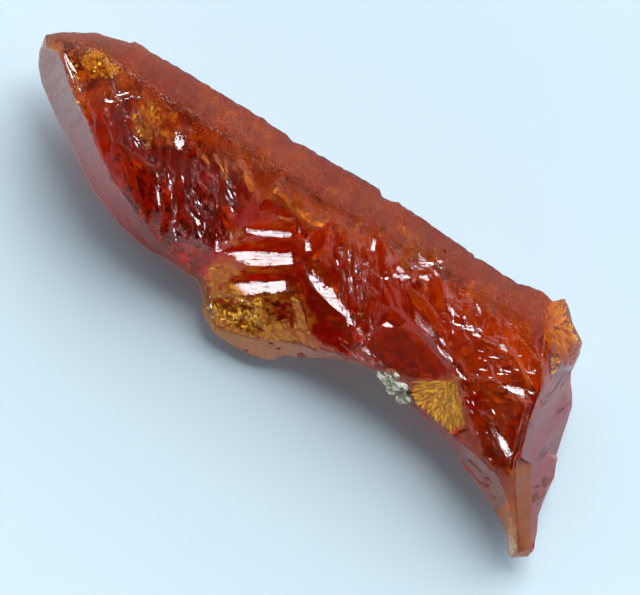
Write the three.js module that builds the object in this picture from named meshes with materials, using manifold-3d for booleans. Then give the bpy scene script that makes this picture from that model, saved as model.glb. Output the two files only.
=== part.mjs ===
// A broken zincite crystal: one solid, in millimetres, +Z up, resting on a cleavage face.
// It is described on a chart: X runs from the pointed end to the broken end, Y runs across towards the
// rounded growth face, and Z is the height above the surface it rests on. The finished solid is then
// centred on its own bounding box, with its lowest face at Z = 0.
import * as THREE from "three";
import { mergeVertices } from "three/addons/utils/BufferGeometryUtils.js";
import Module from "manifold-3d";

const wasm = await Module();
wasm.setup();

// ---- Driving dimensions ---------------------------------------------------------------------------

const TIP_X = -25.75; // pointed end
const TOE_X = 23.05; // outermost point of the hooked toe at the broken end
const TIP_Y = 2.1;
const TOE_Y = -8.5;
const TIP_Z = 4.9;
const TOE_Z = 1.9;
const ABOVE_ALL = 12.5; // face cutters reach up to here
const BELOW_ALL = -3; // and, from below, down to here
const SLAB = 120; // side of a plane cutter, longer than the crystal
const WALL_LEAN = 0.45; // how far the wall of a broken step leans out for each unit of its height
const SHARPEST_MITRE = 0.5; // keeps the corners of a splinter's walls from running away
const GLANCE = [86, 20]; // azimuth and tilt, in degrees, of the cleavage faces that all flash together
const HACKLE_TURN = -50; // direction of the splintered grooves on the broken face, in degrees

// Feature lines, each [x, y, z], from the pointed end to the broken end.

// Outline on the growth face's side.
const growthEdge = [
  [TIP_X, TIP_Y, TIP_Z], [-25.0, 2.8, 4.9], [-24.0, 3.5, 5.0], [-23.0, 4.2, 5.1], [-22.3, 4.45, 5.2],
  [-21.3, 4.75, 5.3], [-20.6, 4.95, 5.4], [-20.3, 5.25, 5.5], [-18.5, 5.35, 5.7], [-16.0, 5.55, 6.0],
  [-14.0, 5.7, 6.2], [-12.0, 5.8, 6.4], [-10.0, 5.95, 6.6], [-8.0, 6.0, 6.7], [-7.3, 5.85, 6.7],
  [-6.5, 6.05, 6.8], [-5.0, 6.15, 6.9], [-3.0, 6.35, 6.9], [-1.5, 6.5, 7.0], [-0.4, 6.55, 7.0],
  [0.1, 6.25, 7.0], [0.8, 6.35, 7.0], [1.2, 6.6, 7.0], [3.0, 6.6, 7.1], [5.0, 6.6, 7.1],
  [7.5, 6.6, 7.1], [7.8, 6.5, 7.1], [8.2, 6.6, 7.1], [10.0, 6.65, 7.0], [11.2, 6.7, 6.9],
  [12.0, 7.0, 6.9], [12.8, 7.25, 6.8], [13.9, 7.1, 6.6], [14.6, 7.75, 6.4], [15.3, 7.3, 6.0],
  [16.0, 6.7, 5.5], [17.4, 6.0, 4.4], [17.75, 5.2, 4.0], [17.95, 4.2, 3.7], [18.4, 3.3, 3.1],
  [19.0, 2.7, 2.6], [19.5, 1.9, 2.3], [19.8, 1.0, 2.1], [20.05, 0.2, 2.0], [20.5, -0.9, 1.9],
  [20.9, -2.0, 1.9], [21.35, -2.9, 1.9], [21.5, -3.7, 1.8], [21.7, -4.7, 1.8], [22.0, -5.8, 1.8],
  [22.6, -6.8, 1.8], [23.0, -7.8, 1.9], [TOE_X, TOE_Y, TOE_Z],
];

// Outline on the broken face's side.
const brokenEdge = [
  [TIP_X, TIP_Y, TIP_Z], [-25.5, 0.9, 4.6], [-25.0, 0.0, 4.0], [-24.2, -0.8, 3.7], [-23.0, -1.6, 3.2],
  [-21.5, -2.5, 2.8], [-20.0, -3.2, 2.4], [-19.0, -3.8, 2.2], [-18.0, -4.4, 2.1], [-16.5, -5.15, 1.8],
  [-15.0, -5.5, 1.7], [-14.0, -5.9, 1.6], [-12.5, -6.1, 1.5], [-11.0, -6.2, 1.5], [-10.0, -6.0, 1.6],
  [-8.5, -6.0, 1.6], [-7.4, -5.95, 1.5], [-7.0, -6.1, 1.5], [-6.7, -6.4, 1.4], [-6.2, -6.8, 1.2],
  [-5.8, -7.5, 1.1], [-5.3, -8.1, 1.0], [-4.5, -8.55, 0.9], [-3.5, -8.5, 0.9], [-2.0, -8.4, 0.9],
  [-1.0, -8.2, 0.9], [0.0, -7.7, 1.0], [1.0, -7.1, 1.1], [2.0, -6.3, 1.2], [3.0, -5.5, 1.4],
  [4.0, -4.9, 1.6], [5.0, -4.5, 1.7], [6.0, -4.1, 1.8], [7.2, -3.95, 1.9], [7.5, -4.3, 1.9],
  [8.0, -4.75, 1.8], [9.7, -4.9, 1.6], [10.0, -4.6, 1.6], [11.0, -4.65, 1.6], [12.0, -4.75, 1.6],
  [13.4, -5.0, 1.7], [14.2, -5.25, 1.8], [15.0, -5.6, 1.8], [15.8, -6.0, 1.7], [16.8, -6.3, 1.7],
  [17.8, -6.7, 1.6], [18.8, -7.0, 1.5], [19.5, -7.4, 1.4], [20.0, -7.6, 1.3], [20.8, -8.0, 1.3],
  [21.3, -8.6, 1.2], [21.7, -9.1, 1.2], [22.1, -9.35, 1.2], [22.6, -8.95, 1.4], [TOE_X, TOE_Y, TOE_Z],
];

// Where the growth face rolls over into the broken face, then the rim of the end faces down to the toe.
const crest = [
  [TIP_X, TIP_Y, TIP_Z], [-25.0, 2.25, 5.8], [-23.5, 3.0, 6.7], [-21.5, 3.5, 7.4], [-19.0, 3.5, 7.9],
  [-15.0, 3.6, 8.4], [-10.0, 3.7, 8.9], [-5.0, 3.8, 9.3], [0.0, 4.0, 9.5], [5.0, 4.4, 9.6],
  [9.0, 4.5, 9.4], [12.0, 4.7, 9.1], [13.4, 5.2, 8.8], [14.3, 4.6, 8.6], [15.5, 3.0, 8.3],
  [16.6, 2.2, 8.0], [17.05, 0.5, 7.5], [17.5, -1.0, 7.0], [18.3, -3.0, 6.2], [18.8, -4.2, 5.6],
  [19.8, -5.6, 4.5], [21.0, -7.0, 3.4], [22.2, -8.2, 2.5], [TOE_X, TOE_Y, TOE_Z],
];

// Upper third and lower third of the broken face.
const upperSlope = [
  [TIP_X, TIP_Y, TIP_Z], [-25.0, 2.1, 5.8], [-23.5, 2.4, 6.8], [-21.0, 2.0, 7.6], [-15.0, 1.6, 8.3],
  [-10.0, 1.8, 8.5], [-6.0, 2.2, 8.8], [-2.0, 2.2, 8.6], [1.0, 2.0, 8.3], [5.0, 1.8, 8.4],
  [9.0, 1.9, 8.3], [13.0, 1.8, 8.1], [15.5, 1.4, 7.8], [17.0, -0.6, 7.3], [18.3, -3.4, 6.0],
  [19.3, -5.2, 4.8], [20.9, -7.1, 3.3], [22.2, -8.4, 2.4], [TOE_X, TOE_Y, TOE_Z],
];
const lowerSlope = [
  [TIP_X, TIP_Y, TIP_Z], [-25.0, 1.9, 5.7], [-23.5, 1.7, 6.7], [-21.0, 0.4, 7.4], [-17.0, -1.4, 7.4],
  [-13.0, -2.2, 7.2], [-9.0, -2.4, 6.7], [-6.5, -2.4, 5.9], [-4.0, -2.6, 5.4], [-1.0, -2.8, 5.3],
  [2.0, -2.2, 5.9], [6.0, -1.2, 6.6], [10.0, -1.4, 6.4], [14.0, -1.8, 6.3], [16.5, -2.4, 6.0],
  [18.4, -4.2, 5.3], [19.4, -5.6, 4.4], [20.9, -7.3, 3.1], [22.2, -8.6, 2.3], [TOE_X, TOE_Y, TOE_Z],
];

// Where the broken face breaks down into the steep flank.
const shoulder = [
  [TIP_X, TIP_Y, TIP_Z], [-25.2, 1.5, 5.4], [-24.2, 1.7, 6.2], [-23.5, 1.3, 6.6], [-22.5, 0.4, 7.0],
  [-20.5, -0.8, 7.1], [-19.5, -1.2, 7.0], [-18.2, -2.3, 6.7], [-16.0, -3.5, 6.1], [-13.0, -4.5, 5.2],
  [-10.5, -5.4, 4.0], [-9.0, -5.5, 3.6], [-7.2, -5.3, 3.4], [-6.4, -5.8, 3.0], [-5.5, -6.8, 2.4],
  [-4.5, -7.6, 2.1], [-3.5, -7.6, 2.1], [-1.5, -6.9, 2.3], [1.0, -5.5, 2.9], [4.0, -4.4, 3.8],
  [7.0, -3.6, 4.4], [9.5, -4.0, 3.8], [13.0, -4.4, 3.9], [18.0, -5.0, 4.6], [19.4, -6.0, 4.0],
  [20.9, -7.5, 2.9], [22.2, -8.9, 2.0], [TOE_X, TOE_Y, TOE_Z],
];

// Height of the underside along the crystal: flat where it rests, lifting towards both ends.
const keelHeight = [
  [TIP_X, TIP_Z], [-24.5, 2.6], [-22.0, 1.4], [-18.0, 0.6], [-13.0, 0.15], [-9.5, 0],
  [12.5, 0], [15.5, 0.2], [19.0, 0.5], [21.5, 0.8], [TOE_X, TOE_Z],
];

// ---- Body ------------------------------------------------------------------------------------------

const { degToRad, lerp, inverseLerp, clamp } = THREE.MathUtils;

// Every coordinate but the first of a feature line, at x.
function at(line, x) {
  const last = line.length - 1;
  const i = line.findIndex((point) => point[0] >= x);
  if (i <= 0) return (i === 0 ? line[0] : line[last]).slice(1);
  const share = clamp(inverseLerp(line[i - 1][0], line[i][0], x), 0, 1);
  return line[i].slice(1).map((value, k) => lerp(line[i - 1][k + 1], value, share));
}

// Section of the growth face from its outline to the crest, as shares of the way across and of the way up.
const GROWTH_PROFILE = [[0.08, 0.17], [0.4, 0.5], [0.75, 0.82]];

function growthFace(x) {
  const [yLow, zLow] = at(growthEdge, x);
  const [yHigh, zHigh] = at(crest, x);
  return GROWTH_PROFILE.map(([across, up]) => [lerp(yLow, yHigh, across), lerp(zLow, zHigh, up)]);
}

// The top of the crystal at x, as [y, z] points from the growth edge across to the broken edge.
function topLine(x) {
  const slopes = [crest, upperSlope, lowerSlope, shoulder, brokenEdge].map((line) => at(line, x));
  return [at(growthEdge, x), ...growthFace(x), ...slopes];
}

// The underside at x, from the broken edge back to the growth edge.
function underLine(x) {
  const [yBroken, zBroken] = at(brokenEdge, x);
  const [yGrowth, zGrowth] = at(growthEdge, x);
  const [keel] = at(keelHeight, x);
  const width = yGrowth - yBroken;
  const rise = (z, share) => lerp(Math.min(keel, z), z, share);
  return [
    [yBroken + 0.06 * width, rise(zBroken, 0.45)],
    [yBroken + 0.2 * width, rise(zBroken, 0)],
    [yGrowth - 0.2 * width, rise(zGrowth, 0)],
    [yGrowth - 0.05 * width, rise(zGrowth, 0.4)],
  ];
}

function loftedBody() {
  const outlineX = [...growthEdge, ...brokenEdge].map((point) => point[0]);
  const inside = outlineX.filter((x) => x > TIP_X && x < TOE_X).sort((a, b) => a - b);
  const stations = inside.filter((x, i) => i === 0 || x > inside[i - 1]);
  const rings = stations.map((x) => [...topLine(x), ...underLine(x)].map(([y, z]) => [x, y, z]));
  const size = rings[0].length;
  const tip = rings.length * size;
  const toe = tip + 1;
  const triangles = [];
  for (let k = 0; k < size; k++) {
    const next = (k + 1) % size;
    triangles.push(tip, next, k);
    for (let r = 1; r < rings.length; r++) {
      const here = (r - 1) * size;
      triangles.push(here + k, here + next, here + size + k);
      triangles.push(here + next, here + size + next, here + size + k);
    }
    triangles.push(toe, tip - size + k, tip - size + next);
  }
  const points = [...rings.flat(), [TIP_X, TIP_Y, TIP_Z], [TOE_X, TOE_Y, TOE_Z]];
  const geometry = new THREE.BufferGeometry();
  geometry.setAttribute("position", new THREE.Float32BufferAttribute(points.flat(), 3));
  return geometry.setIndex(triangles);
}

// Height of the uncut top above a point of the chart.
function topHeight(x, y) {
  const line = topLine(x);
  const i = line.findIndex((point) => point[0] <= y);
  if (i <= 0) return (i === 0 ? line[0] : line[line.length - 1])[1];
  return lerp(line[i - 1][1], line[i][1], inverseLerp(line[i - 1][0], line[i][0], y));
}

// Long cleavage planes under the growth face and the blade, each through three points, counter-clockwise
// as seen from outside. Everything beyond one is gone.
const cleavagePlanes = [
  [[-22.0, -1.2, 1.7], [-16.0, -1.0, 0.25], [-12.5, -5.2, 0.7]],
  [[-23.5, 3.2, 3.3], [-9.5, 5.0, 1.9], [-13.0, 2.6, 0.1]],
  [[-24.9, 0.9, 3.1], [-20.5, 3.6, 1.6], [-20.0, -0.8, 1.0]],
  [[-9.5, 5.5, 3.6], [4.0, 6.1, 3.6], [-2.5, 4.3, 0.25]],
  [[2.0, 6.4, 4.4], [13.0, 6.8, 4.3], [8.5, 4.7, 0.2]],
  [[12.0, 5.9, 2.7], [17.2, 4.6, 2.2], [15.0, 3.2, 0.15]],
  [[17.0, -4.2, 0.35], [21.3, -4.2, 0.9], [21.5, -8.2, 0.9]],
];

// ---- Cleavage faces and splinters ------------------------------------------------------------------

function solidOf(geometry) {
  const bare = geometry.clone();
  bare.deleteAttribute("normal");
  bare.deleteAttribute("uv");
  const merged = mergeVertices(bare, 1e-4);
  const mesh = new wasm.Mesh({
    numProp: 3,
    vertProperties: merged.attributes.position.array,
    triVerts: new Uint32Array(merged.index.array),
  });
  return new wasm.Manifold(mesh);
}

function geometryOf(solid) {
  const mesh = solid.getMesh();
  const geometry = new THREE.BufferGeometry();
  geometry.setAttribute("position", new THREE.BufferAttribute(mesh.vertProperties, 3));
  geometry.setIndex(new THREE.BufferAttribute(mesh.triVerts, 1));
  return geometry.toNonIndexed();
}

const facingVector = ([azimuth, tilt]) =>
  new THREE.Vector3(
    Math.sin(degToRad(tilt)) * Math.cos(degToRad(azimuth)),
    Math.sin(degToRad(tilt)) * Math.sin(degToRad(azimuth)),
    Math.cos(degToRad(tilt)),
  );

// The outline with each corner moved outwards, by that corner's own distance.
function grown(outline, distances) {
  return outline.map(([x, y], i) => {
    const [before, after] = [outline.at(i - 1), outline[(i + 1) % outline.length]];
    const inTurn = Math.atan2(y - before[1], x - before[0]);
    const outTurn = Math.atan2(after[1] - y, after[0] - x);
    const bend = Math.atan2(Math.sin(outTurn - inTurn), Math.cos(outTurn - inTurn));
    const reach = distances[i] / Math.max(Math.cos(bend / 2), SHARPEST_MITRE);
    const outwards = inTurn + bend / 2 - Math.PI / 2;
    return [x + reach * Math.cos(outwards), y + reach * Math.sin(outwards)];
  });
}

// A closed solid between two rings of the same number of points, counter-clockwise as seen from above.
function prism(lower, upper) {
  const count = lower.length;
  const cap = THREE.ShapeUtils.triangulateShape(lower.map(([x, y]) => new THREE.Vector2(x, y)), []);
  const floor = cap.flatMap(([a, b, c]) => [a, c, b]);
  const ceiling = cap.flat().map((k) => k + count);
  const walls = lower.flatMap((_, k) => {
    const next = (k + 1) % count;
    return [k, next, k + count, next, next + count, k + count];
  });
  const geometry = new THREE.BufferGeometry();
  geometry.setAttribute("position", new THREE.Float32BufferAttribute([...lower, ...upper].flat(), 3));
  return geometry.setIndex([...floor, ...ceiling, ...walls]);
}

// A cutter that leaves one flat face, which faces [azimuth, tilt]. Its plan is outline, and its walls lean
// outwards, by a corner's own third number where it has one. The face passes through the point given, or lies
// sink below the uncut top at the outline's middle.
// A face tilted by more than a right angle is cut from below.
function faceCutter({ outline, facing, sink, through, lean = WALL_LEAN }) {
  const clockwise = THREE.ShapeUtils.isClockWise(outline.map(([x, y]) => new THREE.Vector2(x, y)));
  const corners = clockwise ? outline.toReversed() : outline;
  const middle = [0, 1].map((k) => corners.reduce((sum, corner) => sum + corner[k], 0) / corners.length);
  const [px, py, pz] = through ?? [...middle, topHeight(...middle) - sink];
  const normal = facingVector(facing);
  const face = corners.map(([x, y]) => [x, y, pz - (normal.x * (x - px) + normal.y * (y - py)) / normal.z]);
  const fromBelow = normal.z < 0;
  const end = fromBelow ? BELOW_ALL : ABOVE_ALL;
  const reach = corners.map(([, , own = lean], i) => own * Math.abs(end - face[i][2]));
  const far = grown(corners, reach).map(([x, y]) => [x, y, end]);
  return solidOf(fromBelow ? prism(far, face) : prism(face, far));
}

// Everything on the outer side of the plane through three points.
function planeCutter(corners) {
  const [a, b, c] = corners.map((corner) => new THREE.Vector3(...corner));
  const { normal } = new THREE.Plane().setFromCoplanarPoints(a, b, c);
  const slab = new THREE.BoxGeometry(SLAB, SLAB, SLAB).translate(0, 0, SLAB / 2);
  const turn = new THREE.Quaternion().setFromUnitVectors(new THREE.Vector3(0, 0, 1), normal);
  return solidOf(slab.applyQuaternion(turn).translate(a.x, a.y, a.z));
}

// A pointed outline, such as a splinter leaves: length along turn, width across it.
function splinter(x, y, length, width, turn) {
  const [c, s] = [Math.cos(degToRad(turn)), Math.sin(degToRad(turn))];
  const plan = [[-0.5, 0], [-0.2, -0.42], [0.22, -0.5], [0.5, 0], [0.24, 0.44], [-0.18, 0.5]];
  return plan.map(([u, v]) => [x + u * length * c - v * width * s, y + u * length * s + v * width * c]);
}

// The stair of cleavage faces in the middle. Each tread flashes, and its wall climbs to the tread above.
const TREAD = [100, 17];
const RISER_LEAN = 0.6;
const stair = [
  {
    outline: [[-6.9, -1.9], [-6.5, -1.0], [-3.7, 0.75], [-3.3, 0.3]],
    facing: TREAD,
    sink: 0.5,
    lean: RISER_LEAN,
  },
  {
    outline: [[-7.4, -4.3], [-6.9, -3.3], [-5.7, -2.35], [-2.75, -0.4], [-2.3, -1.1], [-4.9, -3.2]],
    facing: TREAD,
    sink: 0.65,
    lean: RISER_LEAN,
  },
  {
    outline: [[-6.3, -6.4], [-5.7, -5.2], [-4.6, -4.2], [-2.1, -2.3], [-1.45, -2.9], [-3.6, -4.8]],
    facing: TREAD,
    sink: 0.75,
    lean: RISER_LEAN,
  },
];

// The long curved tread right of the stair, in three faces that step down along it. Only the wall behind it
// leans.
const crescent = [
  {
    outline: [[-3.9, 1.6, 0.5], [-3.3, 0.4, 0.1], [-2.1, -0.45, 0.1], [-1.4, 0.1, 0.3], [-2.6, 0.7, 0.5]],
    sink: 0.5,
  },
  {
    outline: [
      [-2.1, -0.45, 0.1], [-1.25, -1.05, 0.1], [0.2, -1.85, 0.1],
      [0.75, -0.7, 0.3], [-0.2, -0.2, 0.6], [-1.4, 0.1, 0.3],
    ],
    sink: 0.6,
  },
  {
    outline: [[0.2, -1.85, 0.1], [1.6, -2.2, 0.1], [3.65, -2.65, 0.3], [1.8, -1.4, 0.6], [0.75, -0.7, 0.3]],
    sink: 0.8,
  },
].map((face) => ({ ...face, facing: [80, 18] }));

// Broad faces of the broken side, each named by what it does there.
const broadFaces = [
  // deep face under the curved tread, and the narrow one that joins it to the stair
  {
    outline: [[-1.8, -1.2], [0.4, -1.9], [3.0, -2.2], [4.4, -3.2], [4.4, -4.2], [1.4, -4.6]],
    facing: [-80, 24],
    sink: 0.75,
  },
  { outline: [[-2.1, -2.0], [-1.2, -2.5], [1.5, -4.5], [0.0, -4.8]], facing: [-130, 42], sink: 0.7 },
  { outline: [[-2.9, -3.9], [-1.5, -2.8], [-0.3, -4.3], [-1.4, -5.6]], facing: [-60, 22], sink: 0.9 },
  // hollow face with ripples, and the long face right of it
  {
    outline: [[5.2, -0.2], [7.8, -0.1], [10.8, -0.9], [10.3, -3.2], [7.0, -3.6], [5.0, -2.9]],
    facing: [-96, 30],
    sink: 0.55,
  },
  {
    outline: [[11.8, -0.8], [14.0, 0.4], [16.6, 0.2], [18.2, -4.3], [14.2, -4.4], [12.6, -2.2]],
    facing: [-88, 26],
    sink: 0.4,
  },
  {
    outline: [[11.0, 2.0], [13.6, 2.6], [16.2, 1.2], [14.6, -0.2], [12.0, -0.6]],
    facing: [-75, 14],
    sink: 0.35,
  },
  // fan-shaped scar on the lower edge
  {
    outline: [[9.4, -3.2], [11.3, -1.3], [12.4, -1.8], [14.1, -3.6], [13.4, -5.2], [9.8, -5.1]],
    facing: [-90, 38],
    sink: 0.3,
  },
  // bright bay high on the right, and the two glossy faces below the crest
  {
    outline: [[6.0, 1.4], [7.3, 1.2], [8.8, 0.7], [8.3, -0.25], [7.5, 0.1], [6.6, 0.6]],
    facing: [88, 22],
    sink: 0.55,
  },
  { outline: [[3.3, 3.3], [4.9, 2.9], [4.4, 1.7], [3.5, 1.9]], facing: [80, 20], sink: 0.3 },
  { outline: [[5.0, 4.6], [6.5, 3.9], [6.2, 3.3], [5.2, 3.1]], facing: [78, 26], sink: 0.3 },
  // red tent above the stair
  { outline: [[-6.5, 0.2], [-6.2, 2.4], [-5.5, 2.3], [-5.4, 0.4]], facing: [172, 24], sink: 0.3 },
  { outline: [[-5.5, 2.2], [-4.0, 1.6], [-3.8, 1.0], [-5.3, 0.5]], facing: [20, 16], sink: 0.3 },
  // blade end: a glossy spot, a long plate along the flank, and a narrow one near the point
  { outline: [[-14.2, 2.0], [-13.5, 2.2], [-13.0, 1.0], [-14.0, 0.8]], facing: [70, 26], sink: 0.2 },
  {
    outline: [[-15.2, -2.2], [-13.8, -2.4], [-9.8, -5.8], [-11.4, -5.4]],
    facing: [-135, 40],
    sink: 0.45,
  },
  {
    outline: [[-23.6, 1.6], [-21.4, 0.5], [-20.2, -0.7], [-21.4, -0.3], [-23.0, 0.9]],
    facing: [-120, 34],
    sink: 0.25,
  },
];

// Faces placed by a point on them: the tall end faces, the striped one above them with its step, the ridge
// down to the toe, and the faces under the broken side's edge.
const placedFaces = [
  {
    outline: [[16.4, 2.4], [18.6, 4.4], [21.5, 3.0], [20.4, 0.9], [17.1, 1.3]],
    facing: [30, 66],
    through: [18.0, 2.2, 4.9],
  },
  {
    outline: [[17.0, 1.2], [20.6, 1.0], [22.0, -1.0], [17.3, -1.2]],
    facing: [8, 65],
    through: [18.75, 0.4, 4.6],
  },
  {
    outline: [[17.4, -1.2], [22.0, -1.0], [22.5, -4.0], [18.2, -3.4]],
    facing: [16, 59],
    through: [19.9, -2.2, 3.9],
  },
  {
    outline: [[18.4, -3.3], [19.6, -3.0], [22.9, -8.0], [22.3, -8.7], [18.9, -4.4]],
    facing: [28, 44],
    through: [19.6, -4.2, 4.7],
  },
  {
    outline: [[14.0, 6.9], [14.7, 8.2], [18.4, 5.8], [17.5, 3.9], [16.8, 3.8], [15.2, 5.0]],
    facing: [40, 36],
    through: [16.0, 5.6, 6.9],
  },
  {
    outline: [[15.2, 4.5], [16.9, 3.7], [18.2, 4.1], [16.9, 2.6]],
    facing: [18, 40],
    through: [16.7, 3.6, 6.7],
  },
  {
    outline: [[-6.9, -6.0], [-5.8, -8.9], [-3.2, -9.4], [-3.4, -4.8]],
    facing: [-112, 140],
    through: [-5.6, -6.9, 0.6],
  },
  {
    outline: [[-3.4, -4.8], [-3.2, -9.4], [0.3, -8.6], [1.6, -4.4]],
    facing: [-84, 146],
    through: [-1.5, -7.4, 0.5],
  },
  {
    outline: [[1.6, -3.2], [0.4, -8.4], [5.2, -5.2], [6.4, -2.6]],
    facing: [-64, 138],
    through: [3.2, -4.6, 0.8],
  },
  {
    outline: [[7.0, -3.0], [7.4, -5.4], [13.6, -5.8], [13.0, -2.8]],
    facing: [-95, 134],
    through: [10.3, -4.2, 0.8],
  },
  {
    outline: [[13.2, -2.8], [13.6, -5.8], [20.2, -8.4], [19.6, -4.4]],
    facing: [-110, 138],
    through: [16.6, -5.4, 0.7],
  },
];

// Splinter scars placed one by one: [x, y, length, width, turn].
const flashingScars = [
  [-16.3, -0.3, 0.8, 0.4, -20], [-13.6, -1.7, 1.1, 0.28, -65], [-12.7, -2.9, 1.2, 0.34, -52],
  [-12.6, -1.2, 1.0, 0.5, -30], [-10.9, -3.2, 3.2, 0.5, -57], [-11.1, -4.5, 0.9, 0.34, -62],
  [-10.0, -2.2, 2.0, 0.42, -32], [-7.8, -2.9, 2.2, 0.42, -56], [-7.2, -2.0, 1.0, 0.35, -60],
  [0.2, 1.3, 2.0, 0.45, -52], [1.0, 1.5, 1.6, 0.4, -48], [1.2, 3.5, 1.5, 0.32, -56],
  [1.9, 5.6, 1.3, 0.22, -52], [4.4, 4.5, 1.2, 0.34, -40], [5.2, 1.6, 0.7, 0.4, -30],
  [8.4, 1.6, 0.7, 0.5, 20], [9.2, 0.5, 1.8, 0.34, -22], [9.9, -0.1, 1.6, 0.26, -18],
  [9.7, 2.6, 1.2, 0.4, -30], [10.8, 2.0, 1.4, 0.4, -28], [12.9, 2.6, 1.0, 0.5, -20],
  [13.6, 1.0, 0.8, 0.5, -50], [11.7, -0.9, 1.2, 0.4, -48], [4.2, -2.4, 1.2, 0.4, -45],
  [4.8, -0.3, 1.0, 0.5, -40], [12.6, -2.4, 0.9, 0.5, -15], [5.4, -3.2, 0.7, 0.4, -20],
];

// Areas of small splinter scars: [x from, x to, y from, y to, columns, rows, turn].
const splinteredAreas = [
  [-0.3, 5.0, -2.6, 2.2, 5, 5, HACKLE_TURN],
  [-12.8, -7.4, -4.2, 1.2, 5, 5, HACKLE_TURN],
  [-20.0, -13.6, -2.0, 2.4, 5, 3, HACKLE_TURN],
  [1.4, 12.4, 2.2, 4.2, 7, 2, -40],
  [12.4, 16.2, -0.2, 4.4, 3, 4, -38],
  [-6.0, -1.6, -7.2, -5.6, 4, 1, 20],
  [14.6, 18.0, -3.8, -2.2, 3, 1, -25],
  [-12.6, -7.2, 1.0, 3.4, 4, 1, -60],
];

// A repeatable stream of numbers from 0 to 1.
function stream(seed) {
  let state = seed;
  return () => {
    state = (state * 16807) % 2147483647;
    return state / 2147483647;
  };
}

function scatteredScars() {
  const random = stream(4801);
  const around = (middle, spread) => middle + spread * (2 * random() - 1);
  return splinteredAreas.flatMap(([x0, x1, y0, y1, columns, rows, turn]) => {
    const cell = [(x1 - x0) / columns, (y1 - y0) / rows];
    return Array.from({ length: columns * rows }, (_, i) => {
      const x = x0 + (0.5 + (i % columns)) * cell[0] + around(0, 0.35 * cell[0]);
      const y = y0 + (0.5 + Math.floor(i / columns)) * cell[1] + around(0, 0.35 * cell[1]);
      const outline = splinter(x, y, around(2.3, 0.8), around(0.75, 0.3), around(turn, 12));
      const facing = [around(turn - 90, 40) + (random() < 0.35 ? 180 : 0), around(18, 10)];
      return { outline, facing, sink: around(0.14, 0.08) };
    });
  });
}

// ---- Assembly ---------------------------------------------------------------------------------------

function crystal() {
  const placed = flashingScars.map(([x, y, length, width, turn], i) => ({
    outline: splinter(x, y, length, width, turn),
    facing: [GLANCE[0] + 10 * Math.sin(5 * i), GLANCE[1] + 2 * Math.cos(3 * i)],
    sink: 0.16,
  }));
  const faces = [...scatteredScars(), ...placed, ...stair, ...crescent, ...broadFaces, ...placedFaces];
  const cutters = faces.map(faceCutter);
  const broken = cutters.reduce((body, cutter) => body.subtract(cutter), solidOf(loftedBody()));
  const trimmed = cleavagePlanes.map(planeCutter).reduce((body, cutter) => body.subtract(cutter), broken);
  return geometryOf(trimmed.decompose().sort((a, b) => b.volume() - a.volume())[0]);
}

const zincite = new THREE.MeshStandardMaterial({
  name: "zincite",
  color: 0x8f1c06,
  roughness: 0.12,
  metalness: 0,
  transparent: true,
  opacity: 0.85,
});

const mesh = new THREE.Mesh(crystal(), zincite);
mesh.name = "zincite_crystal";
mesh.geometry.computeBoundingBox();
const { min, max } = mesh.geometry.boundingBox;
mesh.position.set(-(min.x + max.x) / 2, -(min.y + max.y) / 2, -min.z);

const specimen = new THREE.Group();
specimen.name = "zincite_specimen";
specimen.add(mesh);

export default specimen;
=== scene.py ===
"""A broken zincite crystal, seen from straight above on a pale floor.

Places on the crystal are given on a chart in millimetres: X from the pointed end to the broken end, Y across
towards the rounded growth face, Z above the floor. chart() turns them into the frame's metres.
"""

from math import atan2, cos, pi, radians, sin, sqrt
from types import SimpleNamespace

import bmesh
import bpy
import numpy as np
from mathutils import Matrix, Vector
from mathutils.bvhtree import BVHTree


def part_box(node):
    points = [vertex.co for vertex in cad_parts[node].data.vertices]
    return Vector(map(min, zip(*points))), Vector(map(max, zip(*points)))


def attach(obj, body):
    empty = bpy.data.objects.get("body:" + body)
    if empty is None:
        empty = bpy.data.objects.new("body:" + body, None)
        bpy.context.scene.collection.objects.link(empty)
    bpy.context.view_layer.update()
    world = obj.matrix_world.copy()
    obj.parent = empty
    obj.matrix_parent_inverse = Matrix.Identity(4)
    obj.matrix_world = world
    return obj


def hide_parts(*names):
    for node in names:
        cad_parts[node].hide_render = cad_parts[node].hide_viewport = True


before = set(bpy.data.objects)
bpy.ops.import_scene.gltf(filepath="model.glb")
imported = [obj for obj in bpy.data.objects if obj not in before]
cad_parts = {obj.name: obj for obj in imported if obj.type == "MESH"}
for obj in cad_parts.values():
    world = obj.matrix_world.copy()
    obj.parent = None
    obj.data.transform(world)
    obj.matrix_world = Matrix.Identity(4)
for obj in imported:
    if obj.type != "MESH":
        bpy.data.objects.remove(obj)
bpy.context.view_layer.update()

MM = 0.001
NODE = "zincite_crystal"
TIP_X = -25.75  # chart X of the pointed end, the node's lowest X
TOE_Y = -9.35  # chart Y of the hooked toe, the node's lowest Y
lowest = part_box(NODE)[0]
CHART_SHIFT = np.array([lowest.x / MM - TIP_X, lowest.y / MM - TOE_Y, 0.0])


def chart(x, y, z):
    return Vector((np.array([x, y, z]) + CHART_SHIFT) * MM)


# ---- Lines on the chart that part the crystal's surfaces ----

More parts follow.
